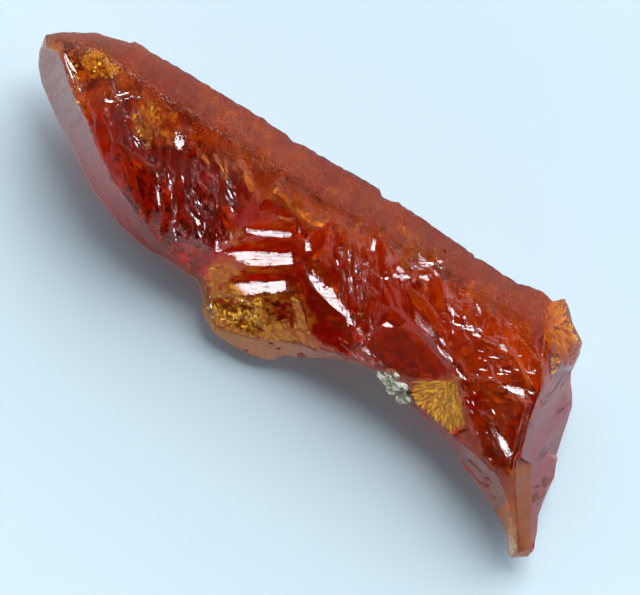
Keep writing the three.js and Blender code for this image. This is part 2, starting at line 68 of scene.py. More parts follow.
CREST = np.array([
    [-25.75, 2.1], [-25, 2.25], [-23.5, 3], [-21.5, 3.6], [-19, 3.6], [-15, 3.7], [-10, 3.8],
    [-5, 3.9], [0, 4.1], [5, 4.5], [9, 4.6], [12, 4.8], [13.4, 5.2], [14.3, 4.6], [15.5, 3],
    [16.6, 2.2], [17.05, 0.5], [17.5, -1], [18.3, -3], [18.8, -4.2], [19.8, -5.6], [21, -7],
    [22.2, -8.2], [23.05, -8.5],
])
SHOULDER = np.array([
    [-25.75, 2.1], [-25.2, 1.5], [-24.2, 1.7], [-23.5, 1.3], [-22.5, 0.4], [-20.5, -0.8], [-19.5, -1.2],
    [-18.2, -2.3], [-16, -3.5], [-13, -4.5], [-10.5, -5.4], [-9, -5.5], [-7.2, -5.4], [-6.4, -5.9],
    [-5.5, -7], [-4.5, -7.8], [-3.5, -7.6], [-1.5, -6.9], [1, -5.5], [4, -4.4], [7, -3.6],
    [9.5, -4], [13, -4.4], [18, -5], [19.4, -6], [20.9, -7.5], [22.2, -8.9], [23.05, -8.5],
])

# Patches on the broken faces: [centre x, centre y, half length, half width, turn, strength]
SPLINTERED = [
    [1.6, 0.2, 3.4, 1.7, -50, 1], [-9.8, -1.4, 3.6, 2.6, -55, 0.8], [-16.6, -0.2, 3.6, 1.5, -30, 0.6],
    [4.4, 2.9, 2.8, 1.2, -35, 0.8], [9.6, 2.6, 3, 1.1, -25, 0.8], [8.4, 0.6, 2.2, 0.7, -15, 0.8],
    [13.4, 1.8, 2.4, 1.6, -40, 0.8], [15.9, -0.6, 1.6, 0.9, -60, 0.8], [-3.4, -6.2, 2.4, 1.1, 20, 1],
    [16.6, -3, 1.8, 0.8, -25, 0.8], [-9.6, 2, 2.6, 0.9, -20, 0.6], [-20.6, 1.4, 2.4, 1.6, -30, 0.7],
]
FROSTED = [
    [-16.5, 0.6, 6.5, 3.4, -8, 0.55], [-9.6, 1.4, 4.2, 2.4, -8, 0.5], [-9.8, -2.4, 3, 2.4, -50, 0.35],
    [3.6, 3.2, 4.6, 1.5, 0, 0.2], [10.2, 3.4, 5, 1.9, 0, 0.25], [14, 1.4, 2.6, 2.2, -30, 0.2],
    [-3, -6.2, 3.6, 1.5, 15, 0.3], [-21.5, 1.6, 2.6, 2, -20, 0.2], [4, 0.8, 2.4, 1.6, -50, 0.1],
]

# The stair, the crescent and the deep face right of it keep their edges
CRISP = [
    [-8.3, -2], [-6.4, 0.2], [-6.6, 2], [-4, 2.6], [-2.2, 1.9], [1.2, 0], [4.6, -2], [4.2, -3.2],
    [0.4, -4.9], [-2, -5], [-7.4, -4.3],
]
RIDGE = [[18.4, -3.3], [19.4, -3], [22.9, -8], [22.3, -8.9], [18.9, -4.6]]  # down to the hooked toe
END_FACET = [[14, 6.9], [14.7, 8.2], [18.4, 5.8], [17.5, 3.9], [16.8, 3.8], [15.2, 5]]
FAN = [[9.4, -3], [11.6, -1.3], [12.4, -1.9], [13.9, -3.4], [13.4, -4.3], [11.6, -4.3], [10, -4.1]]
FAN_CENTRE = (11.6, -0.6)  # where its rays meet

# How strongly the faces beyond the growth face take its tint, that being 1: painted shade on their
# reflections
PAINTED_SHADE_PLACES = [(RIDGE, 0.9), (END_FACET, 0.8)]
FLANK_PAINTED_SHADE = ([-25, -20, -14], [0.05, 0.2, 0.6])  # chart X, and how much painted shade darkens the flank's reflections there
# across the crest, on the end faces and on the broken faces: painted shade on reflections, across the crest
# with the growth face's stain too
FADE_STAIN_AND_SHADE, END_PAINTED_SHADE, BROKEN_PAINTED_SHADE = 0.97, 0.5, 0.95

# Where the tint on the reflections is golden: painted shade on places whose own colour is golden
GILT = [
    [[-6.9, -3.6], [-2.3, -3.3], [-2.1, -1.9], [-1, -2.4], [1.6, -4.4], [1.4, -5.6], [0, -6.5],
     [-2.6, -7.8], [-4.6, -8.5], [-6.8, -6.8]],
    [[9.1, -3.2], [11.4, -0.9], [12.6, -1.8], [14.2, -3.4], [13.6, -4.7], [11.6, -4.7], [9.8, -4.3]],
    [[-22.9, 3.1], [-21.3, 3.4], [-20.2, 2.6], [-20.6, 1.3], [-22.3, 1]],
    END_FACET,
]

# Small faces that mirror the lamp
FLASHES = [
    # crescent beside the stair
    [[-3.9, 1.6], [-3.2, 1.4], [-2.4, 1.05], [-1.75, 0.4], [-2.1, 0.05], [-2.8, 0.75]],
    [[-1.9, 0.3], [-1.5, 0.3], [-0.4, -0.15], [0.45, -0.58], [1.3, -0.85], [2.1, -1.15], [2.9, -1.7],
     [3.6, -2.3], [3.3, -2.5], [2.5, -2.02], [1.6, -2], [0.3, -1.78], [-0.75, -1.4], [-1.75, -0.75],
     [-2.15, -0.2]],
    # between the crescent and the broken end
    [[3.75, 1.95], [3.7, 3.25], [4.6, 3.2], [4.8, 2.65]],
    [[3.7, 5], [4.6, 4.5], [6.4, 4.05], [6.2, 3.8], [4.5, 4.2], [3.7, 4.75]],
    [[5.2, 3.1], [5.6, 3.6], [6.2, 3.5], [5.9, 3.15]],
    [[5.95, 1.3], [6.65, 1.25], [7.5, 1], [8.75, 0.65], [8.45, 0.1], [7.7, 0.25], [6.95, 0.6]],
    [[9.3, 2.85], [9.8, 2.85], [11.3, 2.15], [11, 1.9], [10.2, 2.1], [9.6, 2.4]],
    [[8.9, 0.15], [9.6, 0.2], [10.5, -0.1], [10.4, -0.45], [9.4, -0.3]],
    [[10.6, -0.2], [11.4, -0.3], [12.2, -0.8], [11.8, -1], [10.9, -0.6]],
    [[5, -1.1], [5.7, -0.2], [6.4, 0.2], [6.2, -0.3], [5.6, -1.1]],
    [[12.4, 2.9], [13.2, 2.7], [13.5, 2.3], [12.6, 2.3]],
    [[9.4, 3.9], [10, 3.9], [10.4, 3.4], [10, 3.3]],
    [[14.4, 0.2], [15.2, 0.8], [16.3, 0.9], [16.4, 0.5], [15.2, 0.2]],
    [[15.6, -2.2], [16.4, -2.4], [17.9, -3.3], [17.6, -3.7], [16.4, -3]],
    [[1, 3.8], [1.4, 3.7], [1.8, 2.7], [1.5, 2.7]],
    # left of the stair
    [[-13.9, -1.5], [-13.6, -1.6], [-12.2, -3.1], [-12.4, -3.2], [-13.6, -2]],
    [[-10.6, -1.95], [-10.1, -2], [-9.1, -2.6], [-9.3, -2.8], [-10.1, -2.4]],
    [[-14.2, 1.6], [-13.6, 1.9], [-13.2, 1.3], [-13.3, 0.8], [-13.9, 0.9]],
    [[-8.1, -2.2], [-7.8, -2.3], [-7, -3.4], [-7.3, -3.6]],
]
FLASH_WANDER = (12, 5)  # degrees of azimuth and of tilt by which they differ, at most
FLASH_SEED = 64

GLANCE = (86, 22)  # azimuth and tilt, in degrees, of the faces that mirror the lamp up to the camera
GLANCE_RANGE = (14, 7)  # degrees off it where a face still doesn't count as one, and where it does
HACKLE_TURN = -50  # direction of the splinters, in degrees
STREAK_TURN = 33  # and of the streaks on the stair


def line_y(line, x):
    return np.interp(x, line[:, 0], line[:, 1])


def smooth(low, high, value):
    share = np.clip((value - low) / (high - low), 0, 1)
    return share * share * (3 - 2 * share)


def facing(azimuth, tilt):
    a, t = radians(azimuth), radians(tilt)
    return np.array([sin(t) * cos(a), sin(t) * sin(a), cos(t)])


def inside(outline, x, y):
    """Which points lie inside the outline."""
    result = np.zeros(np.shape(x), bool)
    for (x0, y0), (x1, y1) in zip(outline, outline[1:] + outline[:1]):
        if y0 != y1:
            result ^= ((y0 > y) != (y1 > y)) & (x < x0 + (y - y0) * (x1 - x0) / (y1 - y0))
    return result


def new_mesh(name, points, faces):
    mesh = bpy.data.meshes.new(name)
    mesh.from_pydata(points, [], faces)
    mesh.update()
    return mesh


# ---- Noise ----

def lattice(ix, iy, salt):
    """A repeatable number from 0 to 1 for each whole-numbered cell."""
    h = (ix.astype(np.int64) * 374761393 + iy.astype(np.int64) * 668265263 + salt * 974711) & 0xFFFFFFFF
    h = ((h ^ (h >> 13)) * 1274126177) & 0xFFFFFFFF
    h = ((h ^ (h >> 16)) * 2246822519) & 0xFFFFFFFF
    return ((h ^ (h >> 15)) & 0xFFFFFF) / 0x1000000


def value_noise(x, y, salt):
    """Smooth noise from -1 to 1 with features about one unit across."""
    ix, iy = np.floor(x), np.floor(y)
    fx, fy = x - ix, y - iy
    fx, fy = fx * fx * (3 - 2 * fx), fy * fy * (3 - 2 * fy)
    low = lattice(ix, iy, salt) * (1 - fx) + lattice(ix + 1, iy, salt) * fx
    high = lattice(ix, iy + 1, salt) * (1 - fx) + lattice(ix + 1, iy + 1, salt) * fx
    return (low * (1 - fy) + high * fy) * 2 - 1


def two_noises(x, y, coarse, fine, salt):
    """The sum of a coarse and a fine noise, each given as its height and its features' size."""
    (high, wide), (low, narrow) = coarse, fine
    return high * value_noise(x / wide, y / wide, salt) + low * value_noise(x / narrow, y / narrow, salt + 1)


def turned(x, y, degrees):
    """The same points seen along axes turned by that much."""
    c, s = cos(radians(degrees)), sin(radians(degrees))
    return x * c + y * s, -x * s + y * c


def chips(x, y, turn, length, width, salt):
    """Flat chips laid edge to edge, long along turn: height of the chip at each point, about -1 to 1."""
    u, v = turned(x, y, turn)
    u = u + 0.25 * length * value_noise(u / length, v / width, salt + 7)
    cu, cv = u / length, v / width
    iu, iv = np.floor(cu), np.floor(cv)
    nearest = np.full(x.shape, np.inf)
    height = np.zeros(x.shape)
    for du in (-1, 0, 1):
        for dv in (-1, 0, 1):
            ju, jv = iu + du, iv + dv
            ou = ju + lattice(ju, jv, salt)
            ov = jv + lattice(ju, jv, salt + 1)
            distance = (cu - ou) ** 2 + (cv - ov) ** 2
            closer = distance < nearest
            lift = lattice(ju, jv, salt + 2) * 2 - 1
            slope_u = lattice(ju, jv, salt + 3) * 2 - 1
            slope_v = lattice(ju, jv, salt + 4) * 2 - 1
            chip = 0.5 * lift + 0.7 * slope_u * (cu - ou) + 1.3 * slope_v * (cv - ov)
            height = np.where(closer, chip, height)
            nearest = np.where(closer, distance, nearest)
    return height


# ---- The crystal's fine mesh ----

# On faces that point up by at least so much, the longest mesh edge, in millimetres
FINEST = [(0.4, 0.235), (-0.05, 0.36), (-1.0, 0.7)]
REFINE_PASSES = 40  # at most
WELD_GAP = 1e-6  # metres
SOFTENING, CREST_SOFTENING, FEATHERING = 2, 20, 2  # passes
COARSE_HACKLE, FINE_HACKLE, PLAIN_HACKLE = 0.05, 0.035, 0.006  # heights of the splinters, in millimetres
WANDER = (0.25, 0.9), (0.12, 0.3)  # how far borders stray and over what distance, coarsely and finely
BUMPS = (0.045, 0.4), (0.03, 0.2)  # the same for the growth face's bumps
SWAY = (0.06, 0.5), (0.03, 0.22)  # and for how far the points stray sideways
NOTCH = (7.3, 9.9, -3.75)  # chart X from and to, and Y of its wall
SHARP_ANGLE = 24  # degrees
FROST = {"growth": 0.36, "fade": 0.5, "flank": 0.4, "ends": 0.3, "under": 1.0}  # how dull each zone is
VEILED_TO, VEILED_ENDS_FROM = 19.5, 17.0  # chart X

# Where each kind of face starts to show and where it is all there: first chart X
LONG_SIDE, BARREL, END_FACES, ROUNDED_CREST = (15.6, 14.2), (13.5, 12.5), (14.5, 15.5), (-24.5, -23)
# then millimetres across from the crest or the shoulder
GROWTH_EDGE, FADE_EDGE, END_EDGE, CREST_EDGE = (-0.9, 0.7), (-3.0, 0.3), (0.0, 0.4), (2.2, 1.0)
SHOULDER_EDGE = (-0.05, 0.2)
# and then how far it faces up, or sideways for the barrel
FLANK_SLOPE, BROKEN_SLOPE, TOP_SLOPE, BARREL_SLOPE = (0.5, 0.2), (0.2, 0.5), (0.15, 0.4), (0.25, 0.6)
BARREL_HEIGHT, FREE_HEIGHT = (0.3, 0.9), (0.0, 0.8)  # chart Z, the second one where points may be moved


def split(faces, middles, co):
    """The triangles cut at the middles of their edges: middle k lies after corner k, and is -1 for no cut."""
    cuts = (middles >= 0).sum(axis=1)
    # one cut edge comes first, one uncut edge comes last
    first = np.where(cuts == 1, middles.argmax(axis=1), middles.argmin(axis=1) + 1)
    order = (first[:, None] + np.arange(3)) % 3
    a, b, c = np.take_along_axis(faces, order, axis=1).T
    ab, bc, ca = np.take_along_axis(middles, order, axis=1).T
    short = np.linalg.norm(co[a] - co[bc], axis=1) < np.linalg.norm(co[ab] - co[c], axis=1)
    patterns = [
        (cuts == 0, [(a, b, c)]),
        (cuts == 1, [(a, ab, c), (ab, b, c)]),
        ((cuts == 2) & short, [(ab, b, bc), (a, ab, bc), (a, bc, c)]),
        ((cuts == 2) & ~short, [(ab, b, bc), (a, ab, c), (ab, bc, c)]),
        (cuts == 3, [(a, ab, ca), (ab, b, bc), (ca, bc, c), (ab, bc, ca)]),
    ]
    return np.vstack([np.column_stack(corners)[chosen] for chosen, pieces in patterns for corners in pieces])


def welded(source):
    """The mesh's points and its triangles, with points at the same place made one."""
    bm = bmesh.new()
    bm.from_mesh(source)
    bmesh.ops.remove_doubles(bm, verts=bm.verts, dist=WELD_GAP)
    bmesh.ops.triangulate(bm, faces=bm.faces)
    co = np.array([vert.co for vert in bm.verts])
    faces = np.array([[vert.index for vert in face.verts] for face in bm.faces])
    bm.free()
    return co, faces


def refined(source):
    """A copy of the mesh with no edge longer than the limits."""
    co, faces = welded(source)
    for _ in range(REFINE_PASSES):
        first, second, third = (co[faces[:, k]] for k in range(3))
        normal = np.cross(second - first, third - first)
        up = normal[:, 2] / np.maximum(np.linalg.norm(normal, axis=1), 1e-20)
        sides = np.sort(np.stack([faces, np.roll(faces, -1, axis=1)], axis=2).reshape(-1, 2), axis=1)
        keys, which = np.unique(sides[:, 0] * len(co) + sides[:, 1], return_inverse=True)
        ends = np.column_stack([keys // len(co), keys % len(co)])
        highest = np.full(len(keys), -1.0)
        np.maximum.at(highest, which, np.repeat(up, 3))
        limit = np.select([highest >= least for least, edge in FINEST], [edge * MM for least, edge in FINEST])
        length = np.linalg.norm(co[ends[:, 0]] - co[ends[:, 1]], axis=1)
        longest = which.reshape(-1, 3)[np.arange(len(faces)), length[which].reshape(-1, 3).argmax(axis=1)]
        cut = np.zeros(len(keys), bool)
        cut[longest] = length[longest] > limit[longest]
        if not cut.any():
            break
        middles = np.where(cut, len(co) + np.cumsum(cut) - 1, -1)[which].reshape(-1, 3)
        co = np.vstack([co, co[ends[cut]].mean(axis=1)])
        faces = split(faces, middles, co)
    return new_mesh("crystal", co.tolist(), faces.tolist())


def array_of(items, name, width, kind=float):
    """That property of all the items of a mesh, one row for each."""
    values = np.empty(len(items) * width, kind)
    items.foreach_get(name, values)
    return values.reshape(-1, width)


def vertices_of(mesh):
    return array_of(mesh.vertices, "co", 3)


def normals_of(mesh):
    return array_of(mesh.vertex_normals, "vector", 3)


def on_chart(co):
    return (co / MM - CHART_SHIFT).T


def relaxed(values, edges, share, passes):
    """The vertices' values, each drawn by its share towards the mean of its neighbours' over and over."""
    here, there = edges.ravel(), edges[:, ::-1].ravel()
    count = np.bincount(here)
    for _ in range(passes):
        totals = [np.bincount(here, weights=column[there]) for column in values.T]
        values = values + share[:, None] * (np.stack(totals / count, axis=1) - values)
    return values


def feathered(marks, edges):
    """Marks of 0 and 1 with soft borders."""
    return relaxed(marks[:, None].astype(float), edges, np.ones(len(marks)), FEATHERING)[:, 0]


def patchwork(patches, x, y, wander):
    """The strongest of the patches at each point."""
    result = np.zeros(x.shape)
    for cx, cy, length, width, turn, strength in patches:
        u, v = turned(x - cx, y - cy, turn)
        reach = np.hypot(u / length, v / width) + 0.8 * wander
        result = np.maximum(result, strength * smooth(1.0, 0.55, reach))
    return result


def zones(x, y, z, normal, wander):
    """How far each point lies on each kind of face, from 0 to 1."""
    up = normal[:, 2]
    above_crest = y - line_y(CREST, x)
    long_side = smooth(*LONG_SIDE, x + 0.4 * wander)
    barrel = smooth(*BARREL_SLOPE, normal[:, 1]) * smooth(*BARREL, x) * smooth(*BARREL_HEIGHT, z)
    growth = np.maximum(smooth(*GROWTH_EDGE, above_crest + 2 * wander) * long_side, barrel)
    past_shoulder = smooth(*SHOULDER_EDGE, line_y(SHOULDER, x) - y + 0.3 * wander)
    flank = past_shoulder * smooth(*FLANK_SLOPE, up)
    ends = smooth(*END_EDGE, above_crest) * smooth(*END_FACES, x)
    return SimpleNamespace(
        growth=growth, flank=flank, ends=ends, past_shoulder=past_shoulder, up=up, under=up < 0,
        broken=(1 - growth) * (1 - flank) * (1 - ends) * smooth(*BROKEN_SLOPE, up),
        # the growth face's stain, and the painted shade that dims the lamp's highlight on the crest, fade out
        # across it
        fade=smooth(*FADE_EDGE, above_crest + 1.5 * wander) * long_side,
        near_crest=smooth(*CREST_EDGE, np.abs(above_crest)) * long_side * smooth(*ROUNDED_CREST, x),
        top=smooth(*TOP_SLOPE, up),
    )


def roughened(co, normal, x, y, z, zone):
    """The points moved: splinters on the broken faces, bumps on the growth face, and crooked edges."""
    coarse = chips(x, y, HACKLE_TURN, 1.3, 0.3, 21)
    fine = chips(x, y, HACKLE_TURN + 10, 0.8, 0.18, 31)
    hackle = zone.splintered * (COARSE_HACKLE * coarse + FINE_HACKLE * fine)
    hackle = hackle + PLAIN_HACKLE * fine * (1 - zone.calm)
    bumps = two_noises(x, y + z, *BUMPS, 41)
    room = smooth(*FREE_HEIGHT, z)
    co = co + normal * ((zone.broken * hackle + zone.growth * bumps) * room * MM)[:, None]
    sway = np.zeros(co.shape)
    for axis, salts in enumerate([(43, 45), (44, 46)]):
        for salt, (far, size) in zip(salts, SWAY):
            sway[:, axis] += far * value_noise(x / size, y / size, salt)
    sway -= (sway * normal).sum(axis=1)[:, None] * normal
    return co + sway * (room * MM)[:, None]


def flatten_flashes(co, x, y, z, zone):
    """Make small faces flat so that they mirror the lamp."""
    random = np.random.RandomState(FLASH_SEED)
    for outline in FLASHES:
        azimuth, tilt = np.array(GLANCE) + np.array(FLASH_WANDER) * (2 * random.rand(2) - 1)
        nx, ny, nz = facing(azimuth, tilt)
        flat = inside(outline, x, y) & (zone.up > 0.2)
        slant = (x - x[flat].mean()) * nx + (y - y[flat].mean()) * ny
        co[:, 2] = np.where(flat, (z[flat].mean() - slant / nz) * MM, co[:, 2])
        zone.calm = np.maximum(zone.calm, flat)


def paint(mesh, edges, x, y, wander, zone):
    """Give the mesh the attributes that the materials and the veil read."""
    rough = 1 - zone.calm
    upward = zone.up > 0.1
    # the growth face's own stain, which also carries painted shade on its reflections, then painted shade on
    # the ridge and the end facet
    stain_and_shade = zone.growth
    for outline, strength in PAINTED_SHADE_PLACES:
        stain_and_shade = np.maximum(stain_and_shade, strength * (inside(outline, x + wander, y - wander) & upward))
    # the golden places, whose reflections get painted shade in a golden tint
    gilt = np.maximum.reduce([inside(outline, x + wander, y - wander) for outline in GILT]) & upward
    gilt = feathered(gilt, edges) * rough
    # painted shade on the reflections of the flank, the end faces and the broken faces, and across the crest
    # with the growth face's stain
    flank_painted_shade = np.interp(x, *FLANK_PAINTED_SHADE) * zone.flank
    broken_painted_shade = BROKEN_PAINTED_SHADE * zone.broken * rough * (1 - 0.4 * zone.splintered)
    stains_and_shades = [FADE_STAIN_AND_SHADE * zone.fade * rough, flank_painted_shade, END_PAINTED_SHADE * zone.ends, broken_painted_shade, gilt]
    frosts = [amount * getattr(zone, name) for name, amount in FROST.items()]
    frosts.append(patchwork(FROSTED, x, y, wander) * rough * (1 - 0.7 * zone.crisp))
    veiled = [zone.past_shoulder * (x < VEILED_TO), zone.ends * (x > VEILED_ENDS_FROM), inside(RIDGE, x, y)]
    layers = {
        "stain_and_shade": np.maximum.reduce([stain_and_shade, *stains_and_shades]), "gilt": gilt, "dull": np.maximum.reduce(frosts),
        "splintered": zone.broken * rough, "pitted": np.maximum(zone.growth, 0.7 * zone.fade * rough),
        "streaked": zone.calm, "veiled": np.maximum.reduce(veiled) * (zone.up > -0.5),
    }
    for name, values in layers.items():
        mesh.attributes.new(name, "FLOAT", "POINT").data.foreach_set("value", values.astype(np.float32))


def crystal_mesh():
    mesh = refined(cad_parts[NODE].data)
    edges = array_of(mesh.edges, "vertices", 2, np.int32)
    co = vertices_of(mesh)
    x, y, z = on_chart(co)
    wander = two_noises(x, y, *WANDER, 11)
    zone = zones(x, y, z, normals_of(mesh), wander)
    zone.crisp = feathered(inside(CRISP, x, y), edges)

    # the small scars run into one another, and the crest is rounded
    co = relaxed(co, edges, 0.5 * zone.broken * (1 - zone.crisp) * zone.top, SOFTENING)
    co = relaxed(co, edges, 0.5 * zone.near_crest * (1 - zone.crisp) * zone.top, CREST_SOFTENING)
    mesh.vertices.foreach_set("co", co.ravel())
    mesh.update()
    normal = normals_of(mesh)

    # faces that keep their edges and mirror the lamp stay smooth
    zone.calm = smooth(*[cos(radians(a)) for a in GLANCE_RANGE], normal @ facing(*GLANCE)) * zone.crisp
    zone.splintered = patchwork(SPLINTERED, x, y, wander) * (1 - zone.calm) * (1 - 0.8 * zone.crisp)
    co = roughened(co, normal, x, y, z, zone)
    x, y, z = on_chart(co)
    flatten_flashes(co, x, y, z, zone)

    # the green grains sit in a notch in the lower edge
    in_notch = (x > NOTCH[0]) & (x < NOTCH[1]) & (y < NOTCH[2])
    co[:, 1] = np.where(in_notch, (NOTCH[2] + CHART_SHIFT[1]) * MM, co[:, 1])
    mesh.vertices.foreach_set("co", co.ravel())
    paint(mesh, edges, x, y, wander, zone)
    finish_crystal(mesh)
    return mesh


# ---- Sealed cracks ----

CRACK_GAP = 0.03  # millimetres between the walls of a crack, at its middle
CRACK_STEP = 0.22  # and the size of its mesh
CRACK_ROOM = 0.12  # thinnest crystal left above and below it
LOOK_FROM = (30, -10)  # chart Z from which the surface is looked for, from above and from below


def surface_under(tree, x, y, downwards=True):
    """Height of the first surface met at a point of the chart, from above or from below, or nan."""
    start = chart(x, y, LOOK_FROM[0] if downwards else LOOK_FROM[1])
    hit = tree.ray_cast(start, Vector((0, 0, -1 if downwards else 1)))[0]
    return np.nan if hit is None else hit.z / MM


def surface_facing(tree, x, y):
    """Height of the surface at a point of the chart and the way it faces."""
    place, normal = tree.ray_cast(chart(x, y, LOOK_FROM[0]), Vector((0, 0, -1)))[:2]
    return (None, None) if place is None else (place.z / MM, np.array(normal))


def lamp_mirror(surface_normal):
    """The way a crack under such a surface has to face to mirror the lamp up to the camera."""
    def inward(direction):
        cosine = max(direction @ surface_normal, 0.0)
        along = (direction - cosine * surface_normal) / ZINCITE_IOR
        return along + surface_normal * sqrt(1 - along @ along)
    half = inward(facing(0, 0)) + inward(facing(LAMP_AZIMUTH, 90 - LAMP_ELEVATION))
    return half / np.linalg.norm(half)


def crack_plan(outline):
    """Points of a crack seen from above, middle first and then ring by ring, and how far out each lies."""
    corners = np.array(outline, float)
    middle = corners.mean(axis=0)
    closed = np.vstack([corners, corners[:1]])
    lengths = np.hypot(*np.diff(closed, axis=0).T)
    along = np.concatenate([[0], np.cumsum(lengths)])
    spokes = max(12, round(along[-1] / (1.4 * CRACK_STEP)))
    rings = max(4, round(np.hypot(*(corners - middle).T).max() / CRACK_STEP))
    marks = np.arange(spokes) / spokes * along[-1]
    rim = np.stack([np.interp(marks, along, closed[:, k]) for k in (0, 1)], axis=1)
    rim += 0.1 * np.stack([value_noise(rim[:, 0] / 0.3, rim[:, 1] / 0.3, salt) for salt in (71, 72)], axis=1)
    shares = np.arange(1, rings + 1) / rings
    plan = np.vstack([middle[None], *(middle + share * (rim - middle) for share in shares)])
    return plan, np.concatenate([[0], np.repeat(shares, spokes)]), spokes, rings


def crack_heights(tree, plan, depth, width, height, salt):
    """Height of the crack at each point of its plan, turned so that it mirrors the lamp, and rippled."""
    top = np.array([surface_under(tree, *point) for point in plan])
    bottom = np.array([surface_under(tree, *point, downwards=False) for point in plan])
    good = ~np.isnan(top)
    fit = np.linalg.lstsq(np.column_stack([plan[good], np.ones(good.sum())]), top[good], rcond=None)[0]
    surface_normal = np.array([-fit[0], -fit[1], 1.0])
    nx, ny, nz = lamp_mirror(surface_normal / np.linalg.norm(surface_normal))
    middle = plan[0]
    sheet = middle @ fit[:2] + fit[2] - depth - ((plan - middle) @ np.array([nx, ny])) / nz
    u, v = plan.T / width
    sheet = sheet + height * (value_noise(u, v, salt) + 0.45 * value_noise(u * 2.7, v * 2.7, salt + 1))
    return np.where(good, np.clip(sheet, bottom + CRACK_ROOM, top - CRACK_ROOM), sheet)


def crack_walls(tree, outline, depth, *ripples):
    """A closed lens of air that far under the surface: its points and its faces, which face into the lens."""
    plan, reach, spokes, rings = crack_plan(outline)
    sheet = crack_heights(tree, plan, depth, *ripples)
    half_gap = 0.5 * CRACK_GAP * np.sqrt(1 - reach**2)
    outermost = 1 + (rings - 1) * spokes  # from here on both walls have the same points
    upper = np.column_stack([plan, sheet + half_gap])
    lower = np.column_stack([plan, sheet - half_gap])[:outermost]

    def on_ring(ring, k, side):
        index = 0 if ring == 0 else 1 + (ring - 1) * spokes + k % spokes
        return index + (len(upper) if side and index < outermost else 0)

    faces = []
    for side in (0, 1):
        for ring in range(rings):
            for k in range(spokes):
                loop = [on_ring(ring, k, side), on_ring(ring + 1, k, side), on_ring(ring + 1, k + 1, side)]
                if ring:
                    loop.append(on_ring(ring, k + 1, side))
                faces.append(loop[::-1] if side else loop)
    return np.vstack([upper, lower]), faces


# Outline, depth, width, height and salt of the ripples, dullness. The deeper one lies, the redder it looks.
SEALED_CRACKS = [
    # orange glow under the crest
    [[[-11.6, 2.2], [-10.6, 3.4], [-7, 3.7], [-4, 3.5], [-1.8, 3.6], [-1.6, 2.4], [-4.4, 1.6], [-8.4, 1.5]],
     1.7, 0.8, 0.12, 85, 0.45],
    [[[10.6, 2.8], [13, 3.6], [15.4, 2.6], [16, 0.4], [15, -0.6], [13, -0.2], [11, 1]],
     2.6, 0.8, 0.12, 89, 0.4],
    # red under the smooth faces
    [[[-6.6, 0.6], [-4.8, 1.6], [-1, 1.8], [4.4, 1.8], [5, -0.8], [4.6, -3.2], [0.4, -2.4], [-4, -2]],
     3.4, 1.1, 0.18, 102, 0.3],
    [[[5.4, 1.8], [10.2, 2.2], [10.4, -0.8], [9, -3.2], [7, -3.1], [5.4, -3.1]],
     3.4, 1.1, 0.18, 103, 0.3],
    [[[14, -1.2], [16.4, -0.8], [17.4, -3.2], [17, -4.4], [14.4, -3.9]], 2.4, 0.9, 0.15, 91, 0.3],
]


def finish_crystal(mesh):
    """Seal the cracks in the crystal, and keep its sharp edges."""
    bm = bmesh.new()
    bm.from_mesh(mesh)
    tree = BVHTree.FromBMesh(bm)
    dull = bm.verts.layers.float["dull"]
    for *crack, dullness in SEALED_CRACKS:
        points, faces = crack_walls(tree, *crack)
        verts = [bm.verts.new(chart(*point)) for point in points]
        for vert in verts:
            vert[dull] = dullness
        for face in faces:
            bm.faces.new([verts[k] for k in face])
    bm.normal_update()
    bm.to_mesh(mesh)
    bm.free()
    mesh.shade_smooth()
    mesh.set_sharp_from_angle(angle=radians(SHARP_ANGLE))
    mesh.update()


# ---- Materials ----

ZINCITE_IOR = 2.0
ABSORPTION_PER_METRE = 950.0
ABSORPTION_COLOUR = (0.96, 0.6, 0.05)
GLOSSY, MATTE = 0.03, 0.65
WEAR = 0.15  # how far the dullness varies
GROOVES, PITS, STREAKS = 2.0, 13.0, -0.35  # heights of the bumps, beside BUMP_DISTANCE
BUMP_DISTANCE = 0.02 * MM
STAIN_AND_SHADE_TINT = (0.17, 0.035, 0.012)  # what the stained faces mirror of each colour: the growth face's stain, and painted shade on reflections
CLEAN_TINT = (0.8, 0.8, 0.86)
# golden tint on what the gilt places mirror: painted shade on their reflections, over their own golden colour
GILT_SHADE_TINT = (0.4, 0.18, 0.02)
FLOOR_COLOUR = (0.405, 0.508, 0.57)
GRAIN_COLOUR = (0.95, 1.0, 0.84)


def put(tree, socket, value):
    """Give the socket a number or a colour, or link it to another socket."""
    if isinstance(value, bpy.types.NodeSocket):
        tree.links.new(value, socket)
    elif socket.type == "RGBA":
        socket.default_value = (*value, 1)
    else:
        socket.default_value = value


def feed(tree, node, **inputs):
    for name, value in inputs.items():
        put(tree, node.inputs[name.replace("_", " ")], value)
    return node


def add_node(tree, kind, **inputs):
    return feed(tree, tree.nodes.new("ShaderNode" + kind), **inputs)


def new_material(name, shader, **inputs):
    """A material of one shader, with its node tree and that shader."""
    material = bpy.data.materials.new(name)
    material.use_nodes = True
    tree = material.node_tree
    tree.nodes.clear()
    node = add_node(tree, shader, **inputs)
    add_node(tree, "OutputMaterial", Surface=node.outputs["BSDF"])
    return material, tree, node


def attribute(tree, name, output="Fac"):
    node = add_node(tree, "Attribute")
    node.attribute_name = name
    return node.outputs[output]


def maths(tree, operation, *values):
    node = add_node(tree, "Math")
    node.operation = operation
    for socket, value in zip(node.inputs, values):
        put(tree, socket, value)
    return node.outputs["Value"]


def mapped(tree, value, **limits):
    """The value carried over from one range to another."""
    return add_node(tree, "MapRange", Value=value, **limits).outputs["Result"]


def mixed(tree, factor, first, second, blend="MIX"):
    """The first colour where the factor is 0, the second, or its blend with the first, where it is 1."""
    node = add_node(tree, "Mix")
    node.data_type = "RGBA"
    node.blend_type = blend
    return feed(tree, node, Factor=factor, A=first, B=second).outputs["Result"]


def bumped(tree, height, strength):
    bump = add_node(tree, "Bump", Height=height, Strength=strength, Distance=BUMP_DISTANCE)
    return bump.outputs["Normal"]


